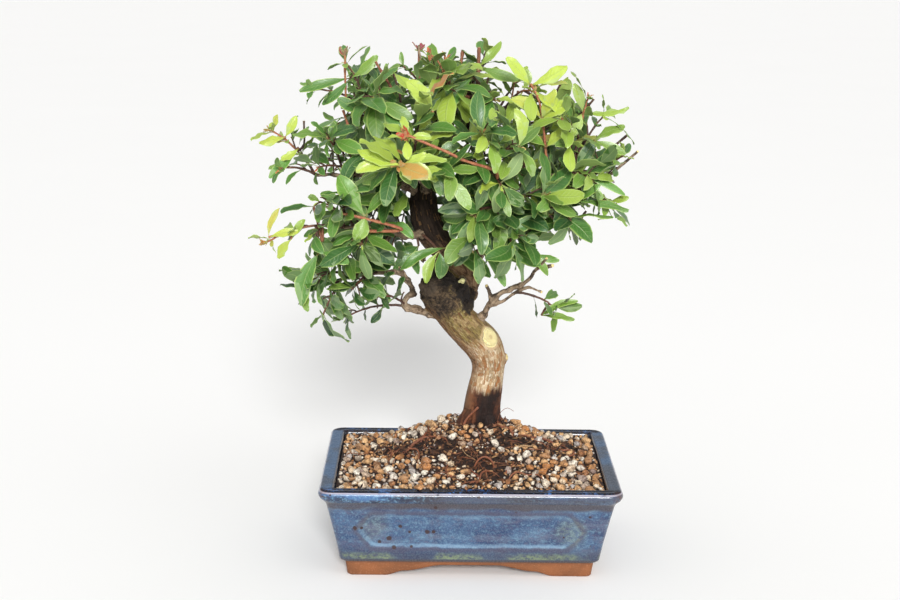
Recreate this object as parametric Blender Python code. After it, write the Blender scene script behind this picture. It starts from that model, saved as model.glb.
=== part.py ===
"""Twisted-trunk pomegranate bonsai in a glazed rectangular pot.

The pot, the soil that fills it, the two drainage screens under the soil, the woody trunk with its
branches, and the leafy shoots are separate solids. Units are metres with +Z up, and every position
is first laid out from the middle of the pot on the surface that it stands on.
"""
import math
import random

import bmesh
import bpy
import numpy as np
from mathutils import Matrix, Vector
from mathutils.bvhtree import BVHTree

MM = 0.001
GAP = 0.3 * MM

# Pot
POT_WIDTH, POT_DEPTH, POT_HEIGHT = 188.5 * MM, 138 * MM, 59.5 * MM
RIM_WIDTH, LIP_HEIGHT = 9.5 * MM, 8 * MM
RIM_CORNER, BODY_CORNER = 6 * MM, 5 * MM
GLAZE_BOTTOM, FOOT_BAND_TOP = 10.5 * MM, 7 * MM
BASE_INSET, WALL = 12.5 * MM, 6 * MM
FOOT_INSET_X, FOOT_INSET_Y = 17.5 * MM, 14.5 * MM
FLOOR_BOTTOM, FLOOR_TOP = 8 * MM, 14 * MM
ARCH_TOP_SHARE, ARCH_FOOT_SHARE = 0.26, 0.56
PANEL_LENGTH_SHARE, PANEL_LOW, PANEL_HIGH, PANEL_RECESS = 0.74, 20 * MM, 43 * MM, 1.0 * MM
DRAIN_RADIUS, DRAIN_X = 7 * MM, 42 * MM
CORNER_STEPS = 3

# Drainage screens
SCREEN_SIDE, SCREEN_THICKNESS, SCREEN_BAR = 24 * MM, 1.2 * MM, 1.5 * MM
SCREEN_CELLS = 3

# Soil
SOIL_EDGE, SOIL_MOUND = 55.5 * MM, 26 * MM
MOUND_X, MOUND_Y = 3 * MM, 24 * MM
MOUND_SPREAD_X, MOUND_SPREAD_FRONT, MOUND_SPREAD_BACK = 38 * MM, 37 * MM, 20 * MM
GRIT_COLUMNS, GRIT_ROWS = 26, 18
GRIT_RISE = (1.0 * MM, 2.6 * MM)

# Trunk: points in millimetres from the middle of the pot, each with its radius
BURIED_TOP = 86
TRUNK_SIDES, BRANCH_SIDES, TWIG_SIDES = 10, 6, 4
TRUNK_ROUTE = [
    (8, 24, 58, 13.5), (8, 24, 72, 13.0), (8, 24, BURIED_TOP, 12.4), (10, 24, 101, 11.4),
    (12, 24, 113, 10.8), (12, 23, 123, 11.4), (8, 22, 132, 11.6), (0, 20, 141, 11.0),
    (-8, 18, 150, 11.0), (-13, 15, 158, 11.8), (-18, 11, 165, 12.8), (-23, 5, 172, 11.6),
]
LEADER_ROUTE = [
    (-12, 24, 160, 9.0), (-5, 28, 166, 9.8), (-3, 29, 175, 10.0), (-6, 28, 184, 9.4),
    (-13, 24, 192, 9.2), (-20, 20, 199, 9.4), (-26, 17, 208, 9.6), (-30, 16, 220, 9.4),
    (-31, 17, 231, 8.6), (-29, 20, 242, 7.4), (-25, 22, 253, 6.0), (-21, 22, 266, 4.6),
    (-19, 20, 280, 3.4),
]
WOUND = {"inside": (4, 21, 135), "face": (13.2, 12.2, 138.5), "radius": 5.4}
PRUNED_KNOB = {"inside": (14, 23, 121), "face": (26, 20, 123), "radius": 1.9}

# Branches: first and last radius, then points, all in millimetres
BRANCHES = {
    "left_low": (3.8, 1.9, [(-18, 17, 152), (-26, 14, 153), (-35, 10, 157), (-43, 6, 160), (-42, 5, 165),
                            (-38, 4, 170), (-41, 2, 178), (-48, 0, 183), (-60, -1, 183), (-72, -5, 182),
                            (-82, -10, 185)]),
    "right_low": (4.4, 1.8, [(2, 22, 143), (8, 16, 152), (12, 12, 160), (17, 8, 167), (27, 4, 173),
                             (35, 0, 178), (41, -4, 187), (52, -6, 190)]),
    "right_low_fork": (2.4, 1.6, [(12, 12, 160), (20, 9, 163), (28, 7, 169), (36, 5, 173), (46, 5, 170)]),
    "left_mid": (3.2, 1.4, [(-27, 17, 208), (-40, 6, 206), (-52, -3, 209), (-60, -11, 215), (-80, -24, 216)]),
    "left_up": (3.2, 1.5, [(-31, 17, 231), (-46, 8, 239), (-59, 2, 244), (-72, -4, 246), (-98, -12, 247)]),
    "left_top": (3.0, 1.5, [(-27, 21, 247), (-39, 14, 260), (-51, 8, 273), (-66, 3, 286)]),
    "top_left": (2.6, 1.4, [(-19, 20, 278), (-26, 14, 290), (-33, 6, 300)]),
    "top_right": (2.8, 1.5, [(-19, 20, 278), (-10, 24, 286), (-2, 26, 294)]),
    "right_top": (3.0, 1.5, [(-22, 22, 262), (-8, 26, 269), (6, 30, 275), (20, 30, 284)]),
    "right_up": (3.6, 1.6, [(-13, 24, 192), (-4, 18, 204), (6, 12, 219), (17, 7, 232), (30, 2, 239),
                            (46, -4, 245), (62, -9, 254)]),
    "right_mid": (4.6, 1.7, [(-6, 28, 182), (8, 27, 193), (19, 23, 201), (31, 18, 210), (44, 14, 223),
                             (54, 10, 233), (68, 5, 238), (82, 2, 243)]),
    "front": (3.2, 1.4, [(-30, 16, 233), (-30, 0, 240), (-33, -18, 245), (-38, -36, 252)]),
    "front_right": (2.8, 1.4, [(-22, 22, 262), (-10, 6, 258), (-2, -10, 256), (4, -28, 256)]),
    "front_mid": (2.4, 1.4, [(6, 12, 219), (12, -4, 222), (16, -18, 227)]),
    "back_left": (3.2, 1.5, [(-27, 17, 212), (-42, 34, 222), (-58, 50, 236)]),
    "back_mid": (3.2, 1.5, [(-27, 21, 247), (-20, 38, 256), (-12, 54, 266)]),
    "back_right": (3.4, 1.5, [(-2, 28, 178), (14, 44, 200), (32, 52, 222), (50, 56, 240)]),
}
PRUNED_TWIGS = [
    ((17, 8, 167), (13, 7, 175), 1.3), ((41, -4, 187), (47, -12, 196), 1.2), ((-52, -3, 209), (-55, -12, 203), 1.2),
    ((-41, 2, 178), (-47, -3, 188), 1.2), ((30, 2, 239), (36, -8, 252), 1.2), ((-20, 20, 199), (-33, 8, 190), 1.6),
    ((-19, 20, 280), (-18, 16, 318), 1.2), ((-2, 26, 294), (3, 25, 321), 1.1), ((-33, 6, 300), (-35, 7, 326), 0.9),
    ((82, 2, 243), (103, -4, 263), 1.1), ((-72, -4, 246), (-77, -22, 262), 1.0), ((-60, -11, 215), (-93, -26, 230), 1.0),
]

# Shoots: tip in millimetres, leaf length in millimetres, and finish
SHOOTS = {
    "left_tip": ((-126, -38, 209), 13, "young"),
    "left_tip_over": ((-95, -30, 233), 18, "mature"),
    "left_mid_front": ((-79, -42, 241), 29, "mature"),
    "left_mid_low": ((-69, -40, 208), 26, "mature"),
    "low_left_a": ((-106, -30, 178), 28, "mature"),
    "low_left_b": ((-94, -20, 158), 26, "mature"),
    "low_left_c": ((-75, -26, 177), 25, "mature"),
    "low_left_d": ((-59, -12, 170), 22, "mature"),
    "low_left_e": ((-86, -20, 194), 24, "mature"),
    "low_left_f": ((-81, 6, 152), 22, "mature"),
    "left_up_tip": ((-125, -18, 275), 15, "young"),
    "left_up_under": ((-119, -22, 252), 20, "mature"),
    "left_up_in": ((-96, -22, 253), 22, "mature"),
    "left_up_mid": ((-89, -32, 272), 22, "mature"),
    "left_top_tip": ((-80, -4, 316), 19, "mature"),
    "left_top_out": ((-100, -6, 299), 20, "mature"),
    "left_top_front": ((-60, -34, 296), 27, "mature"),
    "top_left_tip": ((-45, 8, 313), 19, "mature"),
    "top_mid_tip": ((-25, 12, 312), 20, "mature"),
    "top_mid_front": ((-12, -18, 300), 28, "mature"),
    "top_right_tip": ((8, 24, 315), 22, "mature"),
    "top_right_front": ((13, -8, 294), 24, "mature"),
    "right_top_tip": ((29, 24, 304), 22, "mature"),
    "front_bright": ((-31, -44, 297), 27, "young"),
    "bright_shoot": ((36, -17, 300), 26, "young"),
    "bright_side": ((53, -22, 285), 24, "young"),
    "right_up_tip": ((70, -12, 297), 19, "young"),
    "right_out": ((81, -10, 286), 23, "mature"),
    "right_mid_tip": ((94, -4, 260), 19, "mature"),
    "right_mid_under": ((86, -8, 230), 22, "mature"),
    "right_mid_low": ((74, -22, 247), 24, "mature"),
    "right_mid_front": ((60, -30, 222), 28, "mature"),
    "right_mid_in": ((43, -38, 239), 27, "mature"),
    "centre_a": ((0, -42, 228), 27, "mature"),
    "centre_b": ((16, -50, 247), 25, "mature"),
    "centre_c": ((27, -46, 269), 23, "mature"),
    "centre_d": ((4, -54, 279), 23, "mature"),
    "centre_e": ((-16, -58, 257), 22, "mature"),
    "red_tip": ((-41, -62, 276), 13, "young"),
    "rosette": ((-46, -66, 260), 27, "young"),
    "centre_low_a": ((-1, -36, 205), 26, "mature"),
    "centre_low_b": ((24, -32, 207), 28, "mature"),
    "low_right_hang": ((54, 0, 161), 17, "mature"),
}
CANOPY_CENTRE, CANOPY_SIZE = (-10, 12, 250), (84, 74, 64)
FILL_POINTS, FILL_LOWEST, FILL_APART, FILL_FRONT = 46, -0.62, 30, 4
FILL_LEAF = (20, 27)
MOST_SHOOTS = 55
TWIG_REACH, TWIG_RADIUS, TWIG_TIP_RADIUS = 28 * MM, 0.9 * MM, 0.6 * MM
TWIG_RISE = 0.1

# Leaves
LEAF_THICKNESS, LEAF_CLEARANCE = 0.6 * MM, 0.5 * MM
LEAF_WIDTH_SHARE = (0.33, 0.44)
LONG_LEAF = 28 * MM
LONG_LEAF_NODES, SHORT_LEAF_NODES = (0.40, 0.68, 0.94), (0.30, 0.62, 0.94)
LONG_STATIONS = ((0.16, 0.22), (0.44, 0.92), (0.78, 0.82))
SHORT_STATIONS = ((0.38, 0.90), (0.76, 0.84))
THIRD_LEAF_SHARE = 0.08
NODE_SPAN = 1.3 * MM
TRIES = 26
SEED = 11

MATERIALS = {
    "pot": ((0.13, 0.24, 0.42), 0.28),
    "screen": ((0.03, 0.03, 0.03), 0.6),
    "soil": ((0.36, 0.22, 0.12), 0.95),
    "bark": ((0.36, 0.26, 0.17), 0.85),
    "mature": ((0.07, 0.22, 0.05), 0.45),
    "young": ((0.40, 0.55, 0.09), 0.45),
}


def clear_scene():
    for obj in list(bpy.data.objects):
        bpy.data.objects.remove(obj)


def finish_material(name):
    colour, roughness = MATERIALS[name]
    made = bpy.data.materials.get(name) or bpy.data.materials.new(name)
    made.use_nodes = True
    shader = made.node_tree.nodes["Principled BSDF"]
    shader.inputs["Base Color"].default_value = (*colour, 1)
    shader.inputs["Roughness"].default_value = roughness
    shader.inputs["Metallic"].default_value = 0
    return made


def add_object(name, bm, finish):
    """Makes the bmesh an object with its faces turned outwards."""
    bmesh.ops.recalc_face_normals(bm, faces=bm.faces)
    mesh = bpy.data.meshes.new(name)
    bm.to_mesh(mesh)
    bm.free()
    obj = bpy.data.objects.new(name, mesh)
    bpy.context.scene.collection.objects.link(obj)
    obj.data.materials.append(finish_material(finish))
    return obj


def apply_modifiers(obj):
    graph = bpy.context.evaluated_depsgraph_get()
    mesh = bpy.data.meshes.new_from_object(obj.evaluated_get(graph))
    obj.modifiers.clear()
    obj.data = mesh


def boolean(obj, operation, helpers):
    """Cuts or joins the helpers with the object in one step, and removes them."""
    group = bpy.data.collections.new(obj.name + "_helpers")
    bpy.context.scene.collection.children.link(group)
    for helper in helpers:
        bpy.context.scene.collection.objects.unlink(helper)
        group.objects.link(helper)
    modifier = obj.modifiers.new(operation, "BOOLEAN")
    modifier.operation = operation
    modifier.operand_type = "COLLECTION"
    modifier.collection = group
    modifier.solver = "EXACT"
    apply_modifiers(obj)
    for helper in helpers:
        bpy.data.objects.remove(helper)
    bpy.data.collections.remove(group)


def box_between(name, low, high):
    bm = bmesh.new()
    bmesh.ops.create_cube(bm, size=1)
    size = Vector(high) - Vector(low)
    bmesh.ops.scale(bm, vec=size, verts=bm.verts)
    bmesh.ops.translate(bm, vec=Vector(low) + size / 2, verts=bm.verts)
    return add_object(name, bm, "pot")


def rounded_rectangle(bm, half_x, half_y, radius, z):
    """A closed loop of vertices, anticlockwise from the +X side."""
    corners = ((1, 1, 0), (-1, 1, 90), (-1, -1, 180), (1, -1, 270))
    verts = []
    for sign_x, sign_y, start in corners:
        for step in range(CORNER_STEPS + 1):
            angle = math.radians(start + 90 * step / CORNER_STEPS)
            x = sign_x * (half_x - radius) + radius * math.cos(angle)
            y = sign_y * (half_y - radius) + radius * math.sin(angle)
            verts.append(bm.verts.new((x, y, z)))
    return verts


def loft(bm, sections):
    """Joins rounded rectangles given as (half x, half y, corner radius, z), and closes both ends."""
    loops = [rounded_rectangle(bm, *section) for section in sections]
    for lower, upper in zip(loops, loops[1:]):
        join_rings(bm, lower, upper)
    bm.faces.new(loops[0][::-1])
    bm.faces.new(loops[-1])


def join_rings(bm, lower, upper):
    """Four-sided faces between two rings of as many vertices."""
    count = len(lower)
    return [bm.faces.new((lower[k], lower[(k + 1) % count], upper[(k + 1) % count], upper[k])) for k in range(count)]


def pot_sections():
    half_x, half_y = POT_WIDTH / 2, POT_DEPTH / 2
    lip_low = POT_HEIGHT - LIP_HEIGHT

    def ring(inset, radius, z):
        return half_x - inset, half_y - inset, radius, z

    outside = [
        (half_x - FOOT_INSET_X, half_y - FOOT_INSET_Y, BODY_CORNER - 2 * MM, 0),
        (half_x - FOOT_INSET_X + 1.5 * MM, half_y - FOOT_INSET_Y + 0.8 * MM, BODY_CORNER - 1 * MM, GLAZE_BOTTOM - 1.2 * MM),
        ring(BASE_INSET, BODY_CORNER, GLAZE_BOTTOM),
        ring(BASE_INSET - 2.5 * MM, BODY_CORNER, 24 * MM),
        ring(BASE_INSET - 5.5 * MM, BODY_CORNER, 37 * MM),
        ring(4 * MM, BODY_CORNER, lip_low - 3 * MM),
        ring(2.8 * MM, RIM_CORNER, lip_low - 0.5 * MM),
        ring(0.4 * MM, RIM_CORNER, lip_low + 1.5 * MM),
        ring(0, RIM_CORNER, lip_low + 4.5 * MM),
        ring(1.2 * MM, RIM_CORNER, POT_HEIGHT - 0.6 * MM),
        ring(2.6 * MM, RIM_CORNER, POT_HEIGHT),
    ]
    inside = [
        ring(RIM_WIDTH - 0.8 * MM, BODY_CORNER - 2 * MM, POT_HEIGHT),
        ring(RIM_WIDTH, BODY_CORNER - 2 * MM, POT_HEIGHT - 1.2 * MM),
        ring(soil_wall(24 * MM), BODY_CORNER - 2 * MM, 24 * MM),
        ring(soil_wall(FLOOR_TOP), BODY_CORNER - 2 * MM, FLOOR_TOP),
    ]
    return outside + inside


def soil_wall(z):
    """How far the pot's inner wall stands in from the rim's outer edge at a height."""
    share = (POT_HEIGHT - 1.2 * MM - z) / (POT_HEIGHT - FLOOR_TOP)
    return RIM_WIDTH + share * (BASE_INSET + WALL - RIM_WIDTH)


def arch_cutter(name, reach, across, along_x):
    """A prism with sloping ends that lifts the middle of the foot band off the surface."""
    half_foot, half_top = reach * ARCH_FOOT_SHARE, reach * ARCH_TOP_SHARE
    below = -1 * MM
    outline = [(-half_foot, below), (half_foot, below), (half_foot, 0), (half_foot * 0.78, 0.42 * FOOT_BAND_TOP),
               (half_top, FOOT_BAND_TOP), (-half_top, FOOT_BAND_TOP), (-half_foot * 0.78, 0.42 * FOOT_BAND_TOP),
               (-half_foot, 0)]
    bm = bmesh.new()
    face = bm.faces.new([bm.verts.new((u, -across, z)) for u, z in outline])
    pushed = bmesh.ops.extrude_face_region(bm, geom=[face])["geom"]
    moved = [v for v in pushed if isinstance(v, bmesh.types.BMVert)]
    bmesh.ops.translate(bm, vec=(0, 2 * across, 0), verts=moved)
    if along_x:
        bmesh.ops.rotate(bm, cent=(0, 0, 0), matrix=Matrix.Rotation(math.pi / 2, 3, "Z"), verts=bm.verts)
    return add_object(name, bm, "pot")


def panel_cutter(name, half_wall, half_length, azimuth):
    """A long window with pointed ends, sunk a little into the sloping wall that faces the azimuth."""
    end, mid = half_length * PANEL_LENGTH_SHARE, (PANEL_LOW + PANEL_HIGH) / 2
    shoulder = end - 9 * MM
    outline = [(-end, mid), (-shoulder, PANEL_LOW), (shoulder, PANEL_LOW), (end, mid), (shoulder, PANEL_HIGH),
               (-shoulder, PANEL_HIGH)]
    bm = bmesh.new()
    slope = 5.2 * MM / (PANEL_HIGH - PANEL_LOW)
    verts = []
    for u, z in outline:
        wall = half_wall - BASE_INSET + 2 * MM + slope * (z - PANEL_LOW)
        verts.append(bm.verts.new((u, -wall + PANEL_RECESS, z)))
    pushed = bmesh.ops.extrude_face_region(bm, geom=[bm.faces.new(verts)])["geom"]
    moved = [v for v in pushed if isinstance(v, bmesh.types.BMVert)]
    bmesh.ops.translate(bm, vec=(0, -8 * MM, 0), verts=moved)
    bmesh.ops.rotate(bm, cent=(0, 0, 0), matrix=Matrix.Rotation(azimuth, 3, "Z"), verts=bm.verts)
    return add_object(name, bm, "pot")


def drain_cutter(name, x):
    bm = bmesh.new()
    bmesh.ops.create_cone(bm, cap_ends=True, segments=12, radius1=DRAIN_RADIUS, radius2=DRAIN_RADIUS,
                          depth=4 * FLOOR_TOP, matrix=Matrix.Translation((x, 0, FLOOR_TOP)))
    return add_object(name, bm, "pot")


def underside_cutter():
    """The hollow inside the foot band, under the pot's floor."""
    half_x, half_y = POT_WIDTH / 2 - FOOT_INSET_X - WALL, POT_DEPTH / 2 - FOOT_INSET_Y - WALL
    bm = bmesh.new()
    loft(bm, [(half_x, half_y, 3 * MM, -1 * MM), (half_x, half_y, 3 * MM, FLOOR_BOTTOM)])
    return add_object("underside_hollow", bm, "pot")


def make_pot():
    bm = bmesh.new()
    loft(bm, pot_sections())
    pot = add_object("pot", bm, "pot")
    half_x, half_y = POT_WIDTH / 2, POT_DEPTH / 2
    boolean(pot, "DIFFERENCE", [
        underside_cutter(),
        arch_cutter("front_arch", half_x, POT_DEPTH, False),
        arch_cutter("side_arch", half_y, POT_WIDTH, True),
        panel_cutter("front_panel", half_y, half_x, 0),
        panel_cutter("back_panel", half_y, half_x, math.pi),
        panel_cutter("left_panel", half_x, half_y, -math.pi / 2),
        panel_cutter("right_panel", half_x, half_y, math.pi / 2),
        drain_cutter("drain_left", -DRAIN_X),
        drain_cutter("drain_right", DRAIN_X),
    ])
    return pot


def screen_box(x, grown):
    """Lowest and highest corner of a drainage screen's room on the pot's floor."""
    half = SCREEN_SIDE / 2 + grown
    low = (x - half, -half, FLOOR_TOP + GAP - grown)
    high = (x + half, half, FLOOR_TOP + GAP + SCREEN_THICKNESS + grown)
    return low, high


def make_screen(name, x):
    """A square of plastic mesh over a drain hole: a plate with a grid of square holes."""
    screen = box_between(name, *screen_box(x, 0))
    screen.data.materials[0] = finish_material("screen")
    pitch = (SCREEN_SIDE - SCREEN_BAR) / SCREEN_CELLS
    half = (pitch - SCREEN_BAR) / 2
    holes = []
    for column in range(SCREEN_CELLS):
        for row in range(SCREEN_CELLS):
            cx = x + (column - (SCREEN_CELLS - 1) / 2) * pitch
            cy = (row - (SCREEN_CELLS - 1) / 2) * pitch
            holes.append(box_between(f"{name}_hole_{column}_{row}", (cx - half, cy - half, FLOOR_TOP - SCREEN_BAR),
                                     (cx + half, cy + half, FLOOR_TOP + 3 * SCREEN_THICKNESS)))
    boolean(screen, "DIFFERENCE", holes)
    return screen


def soil_height(x, y):
    """The soil is heaped up to the trunk and sinks a little below the rim at the walls."""
    across = (x - MOUND_X) / MOUND_SPREAD_X
    along = (y - MOUND_Y) / (MOUND_SPREAD_FRONT if y < MOUND_Y else MOUND_SPREAD_BACK)
    return SOIL_EDGE + SOIL_MOUND * math.exp(-(across * across + along * along) / 2)


def make_soil():
    """A block that fills the pot, whose heaped top is a jittered grid of raised grit grains."""
    rng = random.Random(SEED)
    inset = soil_wall(SOIL_EDGE)
    half_x, half_y = POT_WIDTH / 2 - inset - GAP, POT_DEPTH / 2 - inset - GAP
    bm = bmesh.new()
    bmesh.ops.create_grid(bm, x_segments=GRIT_COLUMNS, y_segments=GRIT_ROWS, size=1)
    cell_x, cell_y = 2 * half_x / GRIT_COLUMNS, 2 * half_y / GRIT_ROWS
    for vert in bm.verts:
        x, y = vert.co.x * half_x, vert.co.y * half_y
        on_side, on_end = abs(vert.co.y) > 0.999, abs(vert.co.x) > 0.999
        if not on_side and not on_end:
            x += rng.uniform(-0.28, 0.28) * cell_x
            y += rng.uniform(-0.28, 0.28) * cell_y
        elif on_side and on_end:
            x -= math.copysign(BODY_CORNER * 0.25, x)
            y -= math.copysign(BODY_CORNER * 0.25, y)
        vert.co = (x, y, soil_height(x, y) + rng.uniform(-0.4, 0.2) * MM)
    top_faces = list(bm.faces)
    rim = [edge for edge in bm.edges if edge.is_boundary]
    skirt = bmesh.ops.extrude_edge_only(bm, edges=rim)["geom"]
    low_inset = soil_wall(FLOOR_TOP)
    low_x, low_y = POT_WIDTH / 2 - low_inset - 2 * GAP, POT_DEPTH / 2 - low_inset - 2 * GAP
    bottom = [v for v in skirt if isinstance(v, bmesh.types.BMVert)]
    for vert in bottom:
        vert.co = (vert.co.x * low_x / half_x, vert.co.y * low_y / half_y, FLOOR_TOP + GAP)
    bottom_edges = [edge for edge in bm.edges if edge.is_boundary]
    bmesh.ops.contextual_create(bm, geom=bottom_edges)
    peaks = bmesh.ops.poke(bm, faces=top_faces)["verts"]
    for vert in peaks:
        vert.co += Vector((rng.uniform(-0.8, 0.8) * MM, rng.uniform(-0.8, 0.8) * MM, rng.uniform(*GRIT_RISE)))
    soil = add_object("soil", bm, "soil")
    x, y, low, radius = TRUNK_ROUTE[0]
    hole = bmesh.new()
    tube(hole, [Vector((x, y, low - 0.3)) * MM, Vector((x, y, BURIED_TOP + 30)) * MM],
         [(radius + 0.45) * MM, (radius + 0.45) * MM], TRUNK_SIDES)
    low_left, high_left = screen_box(-DRAIN_X, GAP)
    low_right, high_right = screen_box(DRAIN_X, GAP)
    boolean(soil, "DIFFERENCE", [
        add_object("trunk_hole", hole, "soil"),
        box_between("screen_pocket_left", low_left, high_left),
        box_between("screen_pocket_right", low_right, high_right),
    ])
    return soil


def frames_along(points):
    """A direction, a side and an up vector at each point, carried along without twisting."""
    count = len(points)
    frames = []
    side = None
    for i in range(count):
        ahead = (points[min(i + 1, count - 1)] - points[max(i - 1, 0)]).normalized()
        if side is None:
            helper = Vector((0, 1, 0)) if abs(ahead.y) < 0.9 else Vector((1, 0, 0))
            side = helper.cross(ahead).normalized()
        side = (side - ahead * side.dot(ahead)).normalized()
        frames.append((ahead, side, ahead.cross(side)))
    return frames


def tube(bm, points, radii, sides, flute=0.0, turn=0.0):
    """Rings of vertices along the points, bridged and capped. Returns the side faces of each stretch."""
    rings = []
    travelled = 0
    for i, (point, radius, frame) in enumerate(zip(points, radii, frames_along(points))):
        travelled += (point - points[i - 1]).length if i else 0
        ring = []
        for k in range(sides):
            angle = 2 * math.pi * (k + 0.5) / sides
            reach = radius * (1 + flute * math.cos(3 * angle + turn * travelled))
            ring.append(bm.verts.new(point + (frame[1] * math.cos(angle) + frame[2] * math.sin(angle)) * reach))
        rings.append(ring)
    stretches = [join_rings(bm, lower, upper) for lower, upper in zip(rings, rings[1:])]
    bm.faces.new(rings[0][::-1])
    bm.faces.new(rings[-1])
    return stretches


def to_metres(points):
    return [Vector(point[:3]) * MM for point in points]


def branch_object(name, points, radii, sides=BRANCH_SIDES, flute=0.0, turn=0.0):
    bm = bmesh.new()
    tube(bm, points, radii, sides, flute, turn)
    return add_object(name, bm, "bark")


def branch_points(name):
    """A branch's route and its radius at each point, both in metres."""
    first, last, points = BRANCHES[name]
    steps = len(points) - 1
    radii = [(first + (last - first) * i / steps) * MM for i in range(steps + 1)]
    return to_metres(points), radii


def make_trunk():
    """The woody body: trunk, twisted leader, branches and pruned ends."""
    trunk = branch_object("trunk", to_metres(TRUNK_ROUTE), [p[3] * MM for p in TRUNK_ROUTE], TRUNK_SIDES)
    parts = [branch_object("leader", to_metres(LEADER_ROUTE), [p[3] * MM for p in LEADER_ROUTE], TRUNK_SIDES,
                           flute=0.09, turn=45)]
    for name in BRANCHES:
        parts.append(branch_object(name, *branch_points(name)))
    for number, (start, end, radius) in enumerate(PRUNED_TWIGS):
        parts.append(branch_object(f"pruned_{number}", to_metres([start, end]), [radius * MM] * 2, TWIG_SIDES))
    for name, cut, sides in (("wound", WOUND, 10), ("knob", PRUNED_KNOB, 6)):
        parts.append(branch_object(name, to_metres([cut["inside"], cut["face"]]), [cut["radius"] * MM] * 2, sides))
    boolean(trunk, "UNION", parts)
    return trunk


def curved(start, end, rise, count):
    """Points on a bow from start to end whose middle is raised."""
    middle = (start + end) / 2 + Vector((0, 0, rise))
    control = middle * 2 - (start + end) / 2
    shares = [i / (count - 1) for i in range(count)]
    return [start * (1 - t) ** 2 + control * 2 * t * (1 - t) + end * t * t for t in shares]


class Leaf:
    """A blade that leaves its twig, arches over and may turn about its rib."""

    def __init__(self, base, ahead, sky, length, width, bend, twist):
        self.base, self.length, self.width = base, length, width
        self.bend, self.twist = bend, twist
        self.ahead = ahead.normalized()
        self.up = (sky - self.ahead * sky.dot(self.ahead)).normalized()

    def frame(self, t):
        """Point on the rib at a share of the length, with the rib's direction, the side and the upper face's normal."""
        angle = self.bend * t
        reach = self.length * (math.sin(angle) / self.bend)
        sink = self.length * ((1 - math.cos(angle)) / self.bend)
        point = self.base + self.ahead * reach - self.up * sink
        ahead = self.ahead * math.cos(angle) - self.up * math.sin(angle)
        normal = self.ahead * math.sin(angle) + self.up * math.cos(angle)
        turn = Matrix.Rotation(self.twist * t, 3, ahead)
        normal = turn @ normal
        return point, ahead, normal.cross(ahead), normal

    def stations(self):
        return LONG_STATIONS if self.length > LONG_LEAF else SHORT_STATIONS

    def section(self, t, share, room=0):
        """The four corners of the blade at a station, with room left around it."""
        point, _, side, normal = self.frame(t)
        half, thick = side * (self.width * share / 2 + room), normal * (LEAF_THICKNESS / 2 + room)
        return [point + half + thick, point - half + thick, point - half - thick, point + half - thick]

    def shell(self, first=0.0):
        """Vertices and faces of the blade with room around it, from a share of its length to its tip."""
        verts, faces = [], []
        stations = [(t, share) for t, share in self.stations() if t > first]
        for t, share in [(first, 0.2)] + stations + [(1.01, 0)]:
            verts += self.section(t, share, LEAF_CLEARANCE)
        for row in range(len(stations) + 1):
            low = 4 * row
            faces += [(low + k, low + (k + 1) % 4, low + 4 + (k + 1) % 4, low + 4 + k) for k in range(4)]
        last = len(verts) - 4
        faces += [(0, 1, 2, 3), (last, last + 1, last + 2, last + 3)]
        return verts, faces


class Room:
    """What already stands in space, so that nothing new is put through it."""

    def __init__(self):
        self.lows, self.highs, self.trees, self.owners = [], [], [], []

    def add(self, verts, faces, owner):
        points = np.array([tuple(v) for v in verts])
        self.lows.append(points.min(0))
        self.highs.append(points.max(0))
        self.trees.append(BVHTree.FromPolygons(verts, faces))
        self.owners.append(owner)

    def add_object(self, obj, owner):
        verts = [v.co.copy() for v in obj.data.vertices]
        self.add(verts, [tuple(p.vertices) for p in obj.data.polygons], owner)

    def meets(self, shell, spared=()):
        verts, faces = shell
        points = np.array([tuple(v) for v in verts])
        near = np.all((np.array(self.lows) < points.max(0)) & (np.array(self.highs) > points.min(0)), axis=1)
        tree = BVHTree.FromPolygons(verts, faces)
        return any(self.owners[i] not in spared and self.trees[i].overlap(tree) for i in np.flatnonzero(near))


def tube_shell(points, radii, sides):
    """Vertices and faces of a tube, for testing what it meets."""
    bm = bmesh.new()
    tube(bm, points, radii, sides)
    bm.verts.index_update()
    verts = [v.co.copy() for v in bm.verts]
    faces = [tuple(v.index for v in face.verts) for face in bm.faces]
    bm.free()
    return verts, faces


class Shoot:
    """A leafy shoot: a twig that starts just off its branch, and the leaves at its nodes."""

    def __init__(self, name, bow, leaf_length, finish):
        self.name, self.finish, self.leaf_length = name, finish, leaf_length
        self.route, self.node_rows = self.with_nodes(bow)
        steps = len(self.route) - 1
        self.radii = [TWIG_RADIUS + (TWIG_TIP_RADIUS - TWIG_RADIUS) * i / steps for i in range(steps + 1)]
        self.leaves = []

    def with_nodes(self, bow):
        """The route thinned to its ends and two close points at each node, and the row of each node."""
        def at(share):
            place = min(max(share, 0), 1) * (len(bow) - 1)
            low = min(int(place), len(bow) - 2)
            return bow[low].lerp(bow[low + 1], place - low)

        length = sum((b - a).length for a, b in zip(bow, bow[1:]))
        half = NODE_SPAN / 2 / length
        shares = LONG_LEAF_NODES if self.leaf_length > LONG_LEAF else SHORT_LEAF_NODES
        points, rows = [at(0)], []
        for share in shares:
            rows.append(len(points))
            points += [at(share - half), at(share + half)]
        points.append(at(1))
        return points, rows

    def shell(self, room):
        return tube_shell(self.route, [radius + room for radius in self.radii], TWIG_SIDES)


def branch_sites():
    """Points along every branch, each with the branch's direction, from which a shoot may grow."""
    sites = []
    routes = [branch_points(name)[0] for name in BRANCHES] + [to_metres(LEADER_ROUTE[6:])]
    for points in routes:
        for a, b in zip(points[1:], points[2:]):
            sites += [(a.lerp(b, share), (b - a).normalized()) for share in (0.0, 0.33, 0.67)]
        sites.append((points[-1], (points[-1] - points[-2]).normalized()))
    return sites


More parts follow.
